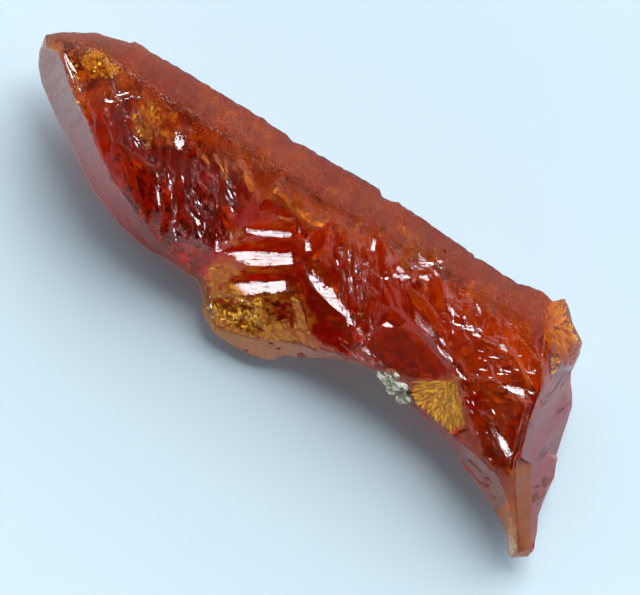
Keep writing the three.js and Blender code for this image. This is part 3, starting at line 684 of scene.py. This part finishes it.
def noise(tree, per_mm, turn=0, detail=2):
    """Noise from 0 to 1, with so many features to the millimetre all ways or along each turned axis."""
    place = add_node(tree, "TexCoord").outputs["Object"]
    mapping = add_node(tree, "Mapping")
    mapping.vector_type = "TEXTURE"
    scale = [MM / count for count in np.broadcast_to(per_mm, 3).tolist()]
    feed(tree, mapping, Vector=place, Rotation=(0, 0, radians(turn)), Scale=scale)
    vector = mapping.outputs["Vector"]
    return add_node(tree, "TexNoise", Vector=vector, Scale=1.0, Detail=detail, Roughness=0.55).outputs["Fac"]


def zincite_material():
    """Clear red stone, its reflections tinted brown or golden: partly the growth face's stain, partly painted
    shade.
    """
    material, tree, glass = new_material(
        "zincite", "BsdfPrincipled", Base_Color=(1, 1, 1), IOR=ZINCITE_IOR, Transmission_Weight=1.0
    )
    depth = add_node(tree, "VolumeAbsorption", Color=ABSORPTION_COLOUR, Density=ABSORPTION_PER_METRE)
    put(tree, tree.nodes["Material Output"].inputs["Volume"], depth.outputs["Volume"])
    names = ("stain_and_shade", "dull", "splintered", "pitted", "streaked", "gilt")
    stain_and_shade, dull, splintered, pitted, streaked, gilt = (attribute(tree, name) for name in names)

    worn = mapped(tree, noise(tree, 1.1, detail=4), To_Min=-0.5, To_Max=0.5)
    dull = maths(tree, "MULTIPLY_ADD", worn, WEAR, dull)

    # grooves along the splinters, pits on the growth face and streaks on the faces that flash
    grooves = maths(tree, "MULTIPLY", noise(tree, (0.7, 7.0, 2.0), turn=HACKLE_TURN, detail=3), splintered)
    pits = maths(tree, "MULTIPLY", noise(tree, 4.5, detail=1.5), pitted)
    streaks = noise(tree, (0.6, 9.0, 2.0), turn=STREAK_TURN)
    streaks = maths(tree, "MULTIPLY", mapped(tree, streaks, From_Min=0.58, From_Max=0.66), streaked)
    height = maths(tree, "MULTIPLY_ADD", pits, PITS, maths(tree, "MULTIPLY", grooves, GROOVES))
    height = maths(tree, "MULTIPLY_ADD", streaks, STREAKS, height)

    # the tint on the reflections, mottled: painted shade, and on the growth face its own stain as well
    blotches = noise(tree, 5.0, detail=3)
    blotches = mapped(tree, blotches, From_Min=0.38, From_Max=0.62, To_Min=0.93, To_Max=1.0)
    stain_and_shade_amount = maths(tree, "MAXIMUM", maths(tree, "MULTIPLY", stain_and_shade, blotches), gilt)
    tint = mixed(tree, stain_and_shade_amount, CLEAN_TINT, mixed(tree, gilt, STAIN_AND_SHADE_TINT, GILT_SHADE_TINT))
    roughness = mapped(tree, dull, To_Min=GLOSSY, To_Max=MATTE)
    feed(tree, glass, Roughness=roughness, Normal=bumped(tree, height, 1.0), Specular_Tint=tint)
    return material


def milky_material(name, dark, light, blush=None):
    """Chalky stuff, clouded between two colours, or between tints of the colours that an attribute gives."""
    material, tree, chalk = new_material(name, "BsdfPrincipled", IOR=1.5, Specular_IOR_Level=0.15)
    clouds = noise(tree, 2.2, detail=4)
    colour = mixed(tree, clouds, dark, light)
    if blush:
        colour = mixed(tree, 1.0, attribute(tree, blush, "Color"), colour, blend="MULTIPLY")
    dull = mapped(tree, clouds, To_Min=0.4, To_Max=0.8)
    normal = bumped(tree, noise(tree, 9, detail=3), 0.5)
    feed(tree, chalk, Base_Color=colour, Roughness=dull, Normal=normal)
    return material


def grain_material():
    material, tree, glass = new_material(
        "green grains", "BsdfPrincipled", Base_Color=GRAIN_COLOUR, IOR=1.62, Transmission_Weight=0.35
    )
    clouds = noise(tree, 3, detail=4)
    frost = mapped(tree, clouds, From_Min=0.35, From_Max=0.7, To_Min=0.03, To_Max=0.4)
    feed(tree, glass, Roughness=frost, Normal=bumped(tree, noise(tree, 7, detail=3), 0.6))
    return material


# ---- Pieces ----

def new_object(name, data):
    item = bpy.data.objects.new(name, data)
    bpy.context.scene.collection.objects.link(item)
    return item


def add_piece(name, mesh, material):
    mesh.materials.clear()
    mesh.materials.append(material)
    return new_object(name, mesh)


def scatter(random, outline):
    """A random point of the outline's box."""
    low, high = np.min(outline, axis=0), np.max(outline, axis=0)
    return low + random.rand(2) * (high - low)


def add_chip(points, faces, upper, lower):
    """A closed chip between two outlines of as many corners."""
    first, count = len(points), len(upper)
    points += [*upper, *lower]
    faces.append([first + k for k in range(count)])
    faces.append([first + count + k for k in reversed(range(count))])
    for k in range(count):
        after = (k + 1) % count
        faces.append([first + after, first + k, first + count + k, first + count + after])


def chip_axes(normal, direction):
    """Two unit vectors in the plane of a chip, the first one turned that way as seen from above."""
    u = np.array([*direction, 0.0])
    u -= normal * (u @ normal)
    u /= np.linalg.norm(u)
    return u, np.cross(normal, u)


# ---- Milky flakes sealed in the crystal ----

# Outline, depths from and to, flakes to the square millimetre of its box, size, and the centre they radiate
# from. The deeper, the redder. In beds that end above SHALLOW they lie along the surface, elsewhere level.
SHALLOW = 1.6
FLAKE_BEDS = [
    # golden fan
    [FAN, 0.15, 0.9, 26, 0.24, FAN_CENTRE],
    # yellow patch near the point and the amber ones behind it
    [[[-22.7, 2.9], [-21.4, 3.2], [-20.6, 2.7], [-20.8, 1.6], [-22.1, 1.3]], 0.5, 1.2, 16, 0.24],
    [[[-20.6, 3.1], [-19, 3.3], [-18, 2.4], [-19.2, 1.7], [-20.6, 1.8]], 1.2, 2.4, 12, 0.25],
    [[[-17.7, 2.2], [-16.4, 3], [-14.8, 2.7], [-14, 1.2], [-15, -0.2], [-17, 0.2]],
     0.8, 2, 12, 0.25],
    # bulge
    [[[-6.6, -5.2], [-4.8, -4.8], [-2.4, -4.9], [0.4, -5.2], [1, -6], [-2.4, -7.6], [-4.6, -8.1],
     [-6.4, -6.8]], 0.2, 0.9, 24, 0.26],
    [[[-6.6, -4], [-4.8, -3.7], [-1.4, -3.5], [-1.2, -4.9], [-6.6, -5.2]], 0.4, 1.2, 22, 0.26],
    [[[0.6, -5], [3.6, -4.6], [6.4, -3.7], [7.2, -3.9], [4, -5], [1.2, -6.1]], 0.2, 0.7, 20, 0.24],
    # band 2 to 3 of the stair, and the planar strip beside it
    [[[-6.8, -1.8], [-3.4, -1.4], [-1.2, -1.6], [-1.4, -2.6], [-6.8, -3]], 0.9, 1.5, 18, 0.3],
    [[[-2, -2.2], [-1, -2.8], [1.4, -4.4], [0, -4.7], [-0.6, -4.4]], 0.8, 1.5, 18, 0.3],
    # orange glow under the crest
    [[[-13.6, 2], [-12, 3.6], [-7, 3.9], [-1.8, 3.9], [-1.6, 2.2], [-4.4, 1.6], [-8.4, 1.5]],
     1.9, 3.2, 10, 0.34],
    [[[-1.2, 4], [5, 4.4], [5.4, 2.6], [2.8, 2], [0.2, 1.6], [-1, 2.4]], 2, 3.2, 10, 0.34],
    [[[5.4, 4.4], [10.6, 4.6], [13.4, 4.8], [12.6, 3.4], [9.4, 2.6], [5.6, 2.4]], 1.9, 3, 10, 0.34],
    [[[10.6, 2.6], [13, 3.8], [15.6, 2.6], [16.4, 0.2], [16, -1.4], [12, -0.6], [10.8, 0.6]],
     2, 3, 16, 0.4],
    # behind the growth face
    [[[-14, 3.6], [0, 4], [13.4, 5], [13.4, 6.6], [6, 6.2], [0, 6], [-10, 5.6], [-14, 5.2]],
     0.8, 1.6, 4, 0.22],
    [[[-24.6, 2.4], [-22, 3.6], [-16, 3.9], [-10, 4], [-10, 5.6], [-16, 5.1], [-22, 4.4]],
     2, 3.8, 5, 0.3],
    [[[-10, 4.1], [0, 4.4], [13.6, 5.2], [13.6, 6.6], [6, 6.6], [0, 6.2], [-10, 5.6]],
     2, 3.8, 5, 0.3],
    [[[14.3, 6.6], [15, 7.8], [18, 5.6], [17.4, 4.2], [15.4, 5]], 0.7, 1.5, 18, 0.26, (14, 5.2)],
    # deep red
    [[[-20, -0.6], [-18.6, 1.6], [-13.6, 1.4], [-8, 1.4], [-7.2, -3.8], [-9.4, -4.8], [-13, -4],
     [-17.6, -2.2]], 3.2, 4.6, 5, 0.45],
    [[[-6.6, 0.8], [-4.8, 1.8], [-1, 2.2], [5, 2.2], [5.4, -3.2], [4.2, -4.2], [0, -4.6], [-4, -2]],
     3.2, 4.2, 10, 0.5],
    [[[5.4, 2.2], [10.6, 2.4], [11, -1.2], [9.6, -3.6], [7, -3.4], [5.4, -3.4]], 2.8, 4, 12, 0.5],
    [[[13.8, -1], [16.6, -0.8], [18, -3.2], [17.4, -4.8], [14.4, -4.2]], 2.4, 3.4, 12, 0.45],
]
# Dark ones
DARK_BEDS = [
    [[[-24.6, 2.6], [-22, 3.2], [-16, 3.2], [-10, 3.3], [0, 3.7], [13.4, 5], [13.4, 6.9],
     [6, 6.4], [0, 6.3], [-10, 5.8], [-16, 5.4], [-22, 4.6]], 0.3, 1.3, 15, 0.17],
    [[[-14, -4.6], [-10, -5.9], [-7.4, -5.7], [-7.2, -4.6], [-9, -4.9], [-12, -4.2]],
     0.1, 0.6, 14, 0.2],
    [[[-23.4, 2.4], [-20, 3.3], [-12, 3.2], [-8, 1.2], [-7.8, -3.2], [-10, -4], [-14, -3],
     [-18, -1], [-21.6, 1]], 1.4, 2.8, 5, 0.4],
    [[[-25.6, 2.1], [-24.9, 1.9], [-23.4, 1.6], [-22.9, 3], [-24.6, 2.9]], 0.15, 0.6, 20, 0.2],
]
# Golden ones in the surface itself
GOLDEN_BEDS = [
    [FAN, -0.02, 0.1, 80, 0.13, FAN_CENTRE],
    [[[-6.2, -6.7], [-5, -5.9], [-3.6, -5], [-2.9, -4.4], [-2.3, -4.9], [-1.8, -6.4], [-4.1, -7.6],
     [-5.6, -7.4]], -0.03, 0.08, 32, 0.16],
    [[[-7.1, -4.7], [-6.6, -4.2], [-5.9, -5.1], [-6.4, -6.1], [-6.9, -5.6]], -0.02, 0.2, 20, 0.16],
    [[[-2, -5.2], [0.6, -5.3], [1.2, -5.9], [-1.6, -6.8], [-2.4, -6.4]], 0, 0.25, 20, 0.15],
    [[[-5.6, -7.4], [-4.4, -8.3], [-2, -8.2], [0.4, -7.2], [1.2, -6], [-1.6, -6.8], [-4.1, -7.5]],
     0, 0.15, 7, 0.2],
    [[[-1.9, -2.2], [-1, -2.7], [1.4, -4.4], [0.4, -4.8], [-0.8, -4.2]], 0, 0.12, 26, 0.15],
    [[[-22.7, 2.9], [-20.6, 3.3], [-19.6, 2.9], [-20.4, 1.9], [-22.4, 1.7]], 0, 0.25, 26, 0.14],
    [[[-17.7, 0.9], [-16.9, 2.4], [-15.9, 2.4], [-15.3, 0.8], [-15.2, -0.3], [-16.4, 0]],
     0.05, 0.4, 18, 0.16],
    [[[-23.2, 1.6], [-22.8, 1.8], [-20.8, -0.3], [-20.9, -0.8]], -0.02, 0.1, 22, 0.12],
    [[[14.6, 7.4], [15.2, 7.6], [18, 5.6], [17.6, 5], [16, 6.2]], 0, 0.2, 34, 0.13],
    [[[16, 3.9], [16.7, 4.1], [17.2, 3.3], [16.9, 2.9]], 0, 0.15, 40, 0.12],
]
FLAKE_THICKNESS = 0.05
FLAKE_TILT = 25  # degrees, at most, out of its bed
FLAKE_PLAN = (1.0, 0.7)  # how long and how wide the flakes are, beside their size
RADIATING_PLAN = (2.2, 0.45)  # and those of a radiating bed
FLAKE_CORNERS = 6
NEAREST_CORNER = 0.6  # beside the furthest one
THINNEST_CRYSTAL, FLAKE_CLEARANCE = 0.6, 0.25  # around a flake and under it
SIDE_ROOM = 0.9  # behind the steep side of the growth face
GROWTH_END = 14.0  # chart X where the growth face ends


def flake_place(tree, x, y, shallow, deep, share):
    """Middle of a flake that share of the way down its bed, and the way the bed faces. None for no room."""
    top, slope = surface_facing(tree, x, y)
    bottom = surface_under(tree, x, y, downwards=False)
    if top is None or top - bottom < THINNEST_CRYSTAL:
        return None
    depth = shallow + share * (deep - shallow)
    lean = slope if deep <= SHALLOW else np.array([0.0, 0.0, 1.0])
    middle = np.array([x, y, top]) - depth * lean
    middle[2] = max(middle[2], bottom + FLAKE_CLEARANCE)
    if x < GROWTH_END and y > line_y(CREST, x):
        # as deep behind the steep side of the growth face as under its top
        side = tree.ray_cast(chart(*middle), Vector((0, 1, 0)), min(shallow, SIDE_ROOM) * MM)[0]
        if side is not None:
            return None
    return middle, lean


def flake_mesh(name, tree, beds, seed):
    """Thin chips scattered through the beds."""
    random = np.random.RandomState(seed)
    angles = np.radians(360 / FLAKE_CORNERS * np.arange(FLAKE_CORNERS))[:, None]
    points, faces = [], []
    for outline, shallow, deep, per_area, size, *centre in beds:
        length, width = RADIATING_PLAN if centre else FLAKE_PLAN
        for _ in range(round(per_area * np.ptp(outline, axis=0).prod())):
            x, y = scatter(random, outline)
            share, turn, tilt, scale, spin = random.rand(5)
            shape = NEAREST_CORNER + (1 - NEAREST_CORNER) * random.rand(FLAKE_CORNERS)
            place = flake_place(tree, x, y, shallow, deep, share) if inside(outline, x, y) else None
            if place is None:
                continue
            middle, lean = place
            normal = lean + sin(radians(FLAKE_TILT)) * tilt * facing(360 * turn, 90)
            normal /= np.linalg.norm(normal)
            angle = atan2(y - centre[0][1], x - centre[0][0]) if centre else 2 * pi * spin
            u, v = chip_axes(normal, (cos(angle), sin(angle)))
            reach = size * (0.5 + scale) * shape
            rim = reach[:, None] * (length * np.cos(angles) * u + width * np.sin(angles) * v)
            add_chip(points, faces, middle + rim, middle + 0.8 * rim - normal * FLAKE_THICKNESS)
    return new_mesh(name, [chart(*point) for point in points], faces)


# ---- Milky veil sealed behind the flank ----

# Its colours along the crystal: chart X, colour
VEIL_SHADES = [
    (-25.0, (1.0, 0.9, 0.96)), (-21.0, (1.0, 0.8, 0.85)), (-16.0, (1.0, 0.42, 0.42)),
    (-11.5, (0.6, 0.15, 0.12)), (-8.0, (0.7, 0.3, 0.14)), (-6.0, (1.0, 0.66, 0.22)), (-2.0, (1.0, 0.64, 0.3)),
    (2.0, (1.0, 0.66, 0.52)), (6.0, (0.85, 0.46, 0.4)), (10.0, (0.7, 0.36, 0.3)), (15.0, (0.75, 0.44, 0.46)),
    (20.0, (0.8, 0.5, 0.4)),
]
END_SHADE = (0.55, 0.185, 0.22)  # on the end faces
RIDGE_SHADE = (0.55, 0.2, 0.07)  # and on the ridge of the hooked end
VEIL_DEPTH, VEIL_THICKNESS = 0.07, 0.03
VEIL_NOISE = (0.7, 0.8), (0.7, 0.25)
VEIL_GAPS = -0.35  # how low the noise has to be for a gap
VEIL_FROM = 0.6  # least value of its attribute


def veil_faces(source, x, y, z):
    """The triangles of the crystal that the veil lies behind."""
    veiled = array_of(source.attributes["veiled"].data, "value", 1)
    gaps = two_noises(x, y + z, *VEIL_NOISE, 201)
    # fewer gaps near the point, and none on the ridge
    gaps = np.where(inside(RIDGE, x, y), 1.0, gaps + 0.4 * smooth(-13, -17, x))
    loops = [list(polygon.vertices) for polygon in source.polygons]
    return [loop for loop in loops if veiled[loop].min() > VEIL_FROM and gaps[loop].max() > VEIL_GAPS]


def veil_colours(x, y):
    marks, colours = zip(*VEIL_SHADES)
    shade = np.column_stack([np.interp(x, marks, channel) for channel in zip(*colours)])
    shade[y > line_y(CREST, x)] = END_SHADE
    shade[inside(RIDGE, x, y)] = RIDGE_SHADE
    return np.column_stack([shade, np.ones(len(x))])


def veil_mesh(source):
    """A thin torn sheet that follows the flank from inside, closed all round."""
    places, normal = vertices_of(source), normals_of(source)
    x, y, z = on_chart(places)
    loops = veil_faces(source, x, y, z)
    used = sorted({k for loop in loops for k in loop})
    number = {k: n for n, k in enumerate(used)}
    outer = [[number[k] for k in loop] for loop in loops]
    inner = [[k + len(used) for k in reversed(loop)] for loop in outer]
    borders = {(a, b) for loop in outer for a, b in zip(loop, loop[1:] + loop[:1])}
    rims = [[b, a, a + len(used), b + len(used)] for a, b in sorted(borders) if (b, a) not in borders]
    upper = places[used] - normal[used] * VEIL_DEPTH * MM
    lower = upper - normal[used] * VEIL_THICKNESS * MM
    mesh = new_mesh("veil", np.vstack([upper, lower]).tolist(), outer + inner + rims)
    shade = veil_colours(x, y)[used]
    layer = mesh.attributes.new("shade", "FLOAT_COLOR", "POINT")
    layer.data.foreach_set("color", np.vstack([shade, shade]).astype(np.float32).ravel())
    mesh.shade_smooth()
    mesh.update()
    return mesh


# ---- Glints: small flat splinters that mirror the lamp ----

# Rows of them: from x, y to x, y, how many, how wide a band they keep to
GLINT_ROWS = [
    [-0.4, 1.9, 3.6, -3, 26, 0.1], [0.1, 2, 4.4, -3.2, 26, 0.12], [0.7, 2, 4.9, -3, 22, 0.14],
    [1.3, 1.6, 4, -1.6, 14, 0.1], [0, 0.8, 1.6, -1, 12, 0.1], [1.1, 3.7, 1.8, 2.6, 7, 0.05],
    [2.4, 0.9, 5.2, -2.4, 16, 0.16], [8.2, 3, 9.7, 1, 9, 0.05], [9.5, 1.9, 11.2, 2.7, 10, 0.15],
    [9, 0.5, 12, -0.9, 18, 0.12], [12.4, 2.3, 13.6, 2.8, 7, 0.12], [14.2, 0.1, 16.5, 0.9, 14, 0.25],
    [15.6, -2.4, 18, -3.5, 13, 0.22], [3.4, 1.8, 4.9, 3.2, 14, 0.45], [4.2, 3.2, 6.4, 4.9, 12, 0.4],
    [6, 1.4, 8.8, 0.6, 14, 0.3], [11.6, -0.5, 16, -3.6, 12, 1.1], [12, 0.4, 16.4, 3.2, 18, 1.2],
    [5, -3, 7, -3.6, 10, 0.25], [3.2, -3.4, 5.4, -4, 9, 0.3], [-6.9, -1.6, -7.3, -4.2, 8, 0.15],
    [-8.1, -2.2, -7, -3.6, 10, 0.1], [-13.8, -1.3, -12.3, -3.3, 8, 0.06], [-13, -1, -10, -4.5, 14, 0.08],
    [-10.5, -2, -9, -3.1, 10, 0.1], [-12, -0.4, -9.6, -2.2, 10, 0.4], [-11.2, -4.1, -11, -4.9, 4, 0.08],
    [-19.6, 0.6, -17.8, 2.4, 10, 0.5], [-16.8, -0.2, -15.8, -0.5, 5, 0.15], [-14.4, 2, -13.2, 0.8, 7, 0.2],
    [-10, 1.2, -7.4, -0.6, 10, 0.5], [-23.4, 1.5, -20.9, -0.2, 12, 0.2], [-5, -5.2, -1.2, -7.2, 10, 0.7],
    [-6.4, -6.2, -5, -7.4, 8, 0.2],
]
GLINT_LENGTH, GLINT_WIDTH = 0.3, 0.036  # of a glint of middling size
GLINT_PLAN = [(-1, 0.1), (-0.4, -0.9), (0.6, -0.8), (1, 0.2), (0.1, 1)]  # beside its length and width
GLINT_LIFT, GLINT_DEPTH = 0.02, 0.08  # above and below the surface
GLINT_WANDER = (30, 12)  # degrees of azimuth and of tilt between which they differ
GLINT_RISE = 0.2  # how far an end may stand clear of the surface
GLINT_CUTS = 6  # tries at a shorter one
GLINT_CROWDING = 1.7
GLINT_SEED = 2207


def settled(tree, middle, along, length):
    """The length shortened until neither end stands clear of the surface, or None where that fails."""
    for _ in range(GLINT_CUTS):
        ends = [middle + side * length * along for side in (-1, 1)]
        if all(end[2] - surface_under(tree, *end[:2]) < GLINT_RISE for end in ends):
            return length
        length *= 0.8
    return None


def glint_mesh(tree):
    """Thin five-sided chips set into the surface in rows, each turned to face the lamp halfway."""
    random = np.random.RandomState(GLINT_SEED)
    points, faces = [], []
    for x0, y0, x1, y1, count, spread in GLINT_ROWS:
        along = np.array([x1 - x0, y1 - y0])
        along /= np.hypot(*along)
        across = np.array([-along[1], along[0]])
        for _ in range(round(GLINT_CROWDING * count)):
            share, aside, size, turn, tip = random.rand(5)
            start = np.array([x0, y0])
            x, y = start + share * np.array([x1 - x0, y1 - y0]) + spread * (2 * aside - 1) * across
            height = surface_under(tree, x, y)
            if np.isnan(height):
                continue
            azimuth = LAMP_AZIMUTH + GLINT_WANDER[0] * (turn - 0.5)
            normal = facing(azimuth, (90 - LAMP_ELEVATION) / 2 + GLINT_WANDER[1] * (tip - 0.5))
            u, v = chip_axes(normal, along)
            scale = 0.45 + 1.3 * size**2
            width = GLINT_WIDTH * scale * (0.8 + 0.6 * tip)
            middle = np.array([x, y, height])
            length = settled(tree, middle, u, GLINT_LENGTH * scale * (0.7 + turn))
            if length is None:
                continue
            upper = [middle + normal * GLINT_LIFT + u * a * length + v * b * width for a, b in GLINT_PLAN]
            lower = [point - normal * GLINT_DEPTH for point in upper]
            add_chip(points, faces, upper, lower)
    return new_mesh("glints", [chart(*point) for point in points], faces)


# ---- The green grains on the lower edge ----

GRAIN_BED = [[6.9, -3.9], [7.5, -3.2], [8.3, -3.1], [9.9, -4.1], [9.6, -4.7], [8.8, -4.5], [7.6, -4.4]]
GRAIN_COUNT = 60
GRAIN_CORNERS = 11
GRAIN_SIZE = 0.34  # millimetres, half across
GRAIN_SHAPE = np.array([1.1, 0.8, 1.0])
GRAIN_HEIGHT = 3.0  # where the crystal does not bear them
GRAIN_SINK = (0.1, 0.8)  # how deep at least, and how much deeper at most
GRAIN_SEED = 518


def grain_mesh(tree):
    """Angular grains grown together along the notch in the lower edge."""
    random = np.random.RandomState(GRAIN_SEED)
    bm = bmesh.new()
    made = 0
    while made < GRAIN_COUNT:
        x, y = scatter(random, GRAIN_BED)
        size = GRAIN_SIZE * (0.5 + random.rand())
        if not inside(GRAIN_BED, x, y):
            continue
        made += 1
        base = np.fmax(surface_under(tree, x, y), GRAIN_HEIGHT)
        z = base - GRAIN_SINK[0] - GRAIN_SINK[1] * random.rand()
        cloud = random.normal(size=(GRAIN_CORNERS, 3))
        cloud *= (size * GRAIN_SHAPE) / np.linalg.norm(cloud, axis=1)[:, None]
        verts = [bm.verts.new(chart(*(np.array([x, y, z]) + point))) for point in cloud]
        hull = bmesh.ops.convex_hull(bm, input=verts)
        unused = hull["geom_interior"] + hull["geom_unused"]
        loose = [item for item in unused if isinstance(item, bmesh.types.BMVert)]
        bmesh.ops.delete(bm, geom=list(set(loose)), context="VERTS")
    bmesh.ops.recalc_face_normals(bm, faces=bm.faces)
    mesh = bpy.data.meshes.new("grains")
    bm.to_mesh(mesh)
    bm.free()
    return mesh


# ---- Floor, light and camera ----

FLOOR_HALF = 1.2  # metres
FLOOR_DROP = 0.02 * MM


def add_floor():
    corners = [(x * FLOOR_HALF, y * FLOOR_HALF, -FLOOR_DROP) for x, y in [(-1, -1), (1, -1), (1, 1), (-1, 1)]]
    paper = new_material("floor", "BsdfDiffuse", Color=FLOOR_COLOUR)[0]
    add_piece("floor", new_mesh("floor", corners, [(0, 1, 2, 3)]), paper)


LAMP_AZIMUTH, LAMP_ELEVATION = 95, 34  # degrees
LAMP_ANGLE = 50  # degrees across
LAMP_STRENGTH = 6.2
LAMP_COLOUR = (1.0, 0.99, 0.97)


def add_lamp():
    data = bpy.data.lights.new("window", "SUN")
    data.energy = LAMP_STRENGTH
    data.angle = radians(LAMP_ANGLE)
    data.color = LAMP_COLOUR
    towards = Vector(facing(LAMP_AZIMUTH, 90 - LAMP_ELEVATION))
    new_object("window", data).rotation_euler = towards.to_track_quat("Z", "Y").to_euler()


BLACK, WHITE = (0, 0, 0), (1, 1, 1)
# Sines of the elevations where the light on the window side starts, is full, is full no more and ends
WINDOW_BAND = (0.13, 0.3, 0.62, 0.76)
WINDOW_SIDE = (0.05, 0.4)  # cosines of the azimuths off the lamp's where it starts and is full
WINDOW_LIGHT = (2.6, 2.8, 3.0)
BACK_BAND = (0.0, 0.3, 0.46)  # full from, full to, and dark from
BACK_SIDE = (0.2, 0.6)
BACK_LIGHT = (1.9, 1.72, 1.7)  # low on the side away from the lamp
HORIZON_LIGHT = (0.8, 0.85, 0.92)
DIM_LIGHT = (0.045, 0.05, 0.056)
CEILING_LIGHT = (0.012, 0.012, 0.013)


def ramp(tree, value, *stops):
    """A colour that depends on the value: stops of a value and its colour."""
    node = add_node(tree, "ValToRGB", Fac=value)
    node.color_ramp.interpolation = "EASE"
    elements = node.color_ramp.elements
    while len(elements) < len(stops):
        elements.new(0.5)
    for element, (position, colour) in zip(elements, stops):
        element.position = position
        element.color = (*colour, 1)
    return node.outputs["Color"]


def vector_maths(tree, operation, first, second, output="Vector"):
    node = add_node(tree, "VectorMath")
    node.operation = operation
    put(tree, node.inputs[0], first)
    put(tree, node.inputs[1], second)
    return node.outputs[output]


def add_room():
    """A bright band behind the lamp, a low light across from it, dim walls all round and a dark ceiling."""
    world = bpy.data.worlds.new("room")
    bpy.context.scene.world = world
    world.use_nodes = True
    tree = world.node_tree
    tree.nodes.clear()
    direction = add_node(tree, "TexCoord").outputs["Generated"]
    height = add_node(tree, "SeparateXYZ", Vector=direction).outputs["Z"]

    def side(azimuth, dark, bright):
        cosine = vector_maths(tree, "DOT_PRODUCT", direction, facing(azimuth, 90), "Value")
        return ramp(tree, cosine, (dark, BLACK), (bright, WHITE))

    def lit(band, share, light):
        return vector_maths(tree, "MULTIPLY", vector_maths(tree, "MULTIPLY", band, share), light)

    window_band = ramp(tree, height, *zip(WINDOW_BAND, (BLACK, WHITE, WHITE, BLACK)))
    back_band = ramp(tree, height, *zip(BACK_BAND, (WHITE, WHITE, BLACK)))
    window = lit(window_band, side(LAMP_AZIMUTH, *WINDOW_SIDE), WINDOW_LIGHT)
    back = lit(back_band, side(LAMP_AZIMUTH + 180, *BACK_SIDE), BACK_LIGHT)
    walls = [(0.0, HORIZON_LIGHT), (0.25, HORIZON_LIGHT), (0.5, DIM_LIGHT), (0.85, CEILING_LIGHT)]
    total = vector_maths(tree, "ADD", ramp(tree, height, *walls), window)
    total = vector_maths(tree, "ADD", total, back)
    light = add_node(tree, "Background", Color=total)
    add_node(tree, "OutputWorld", Surface=light.outputs["Background"])


PICTURE_PIXELS = 640  # width of the photo
MM_PER_PIXEL = 0.07
CAMERA_AIM = (0.53, -1.98, 5.0)  # chart
CAMERA_LENS, SENSOR = 300.0, 36.0
CAMERA_ROLL = 35  # degrees that the crystal's length runs down to the right in the picture


def add_camera():
    data = bpy.data.cameras.new("camera")
    data.lens = CAMERA_LENS
    data.sensor_width = SENSOR
    data.clip_start = 0.01
    data.clip_end = 20
    distance = PICTURE_PIXELS * MM_PER_PIXEL * MM * CAMERA_LENS / SENSOR
    camera = new_object("camera", data)
    camera.location = chart(*CAMERA_AIM) + Vector((0, 0, distance))
    camera.rotation_euler = (0, 0, radians(CAMERA_ROLL))
    bpy.context.scene.camera = camera


# ---- The scene ----

# Flakes: name, material's name, beds, seed, dark and light colour
SCATTERED = [
    ("flakes", "amber flakes", FLAKE_BEDS, 7341, (0.95, 0.42, 0.06), (1.0, 0.72, 0.2)),
    ("dark_flakes", "dark flakes", DARK_BEDS, 1187, (0.16, 0.03, 0.02), (0.4, 0.09, 0.05)),
    ("gilding", "gilding", GOLDEN_BEDS, 3019, (0.75, 0.26, 0.01), (1.0, 0.64, 0.07)),
]
VEIL_DARK, VEIL_LIGHT = (0.65, 0.5, 0.54), (1.0, 1.0, 1.0)

zincite = zincite_material()
crystal = add_piece("crystal", crystal_mesh(), zincite)
solid = bmesh.new()
solid.from_mesh(crystal.data)
surface = BVHTree.FromBMesh(solid)
solid.free()
pieces = [crystal]
for name, stuff, beds, seed, dark, light in SCATTERED:
    pieces.append(add_piece(name, flake_mesh(name, surface, beds, seed), milky_material(stuff, dark, light)))
veil_stuff = milky_material("veil", VEIL_DARK, VEIL_LIGHT, "shade")
pieces.append(add_piece("veil", veil_mesh(crystal.data), veil_stuff))
pieces.append(add_piece("glints", glint_mesh(surface), zincite))
pieces.append(add_piece("grains", grain_mesh(surface), grain_material()))
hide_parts(NODE)
for piece in pieces:
    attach(piece, "root")

add_floor()
add_lamp()
add_room()
add_camera()

scene = bpy.context.scene
scene.view_settings.view_transform = "Standard"
scene.cycles.max_bounces = 24
scene.cycles.transmission_bounces = 24
scene.cycles.glossy_bounces = 8
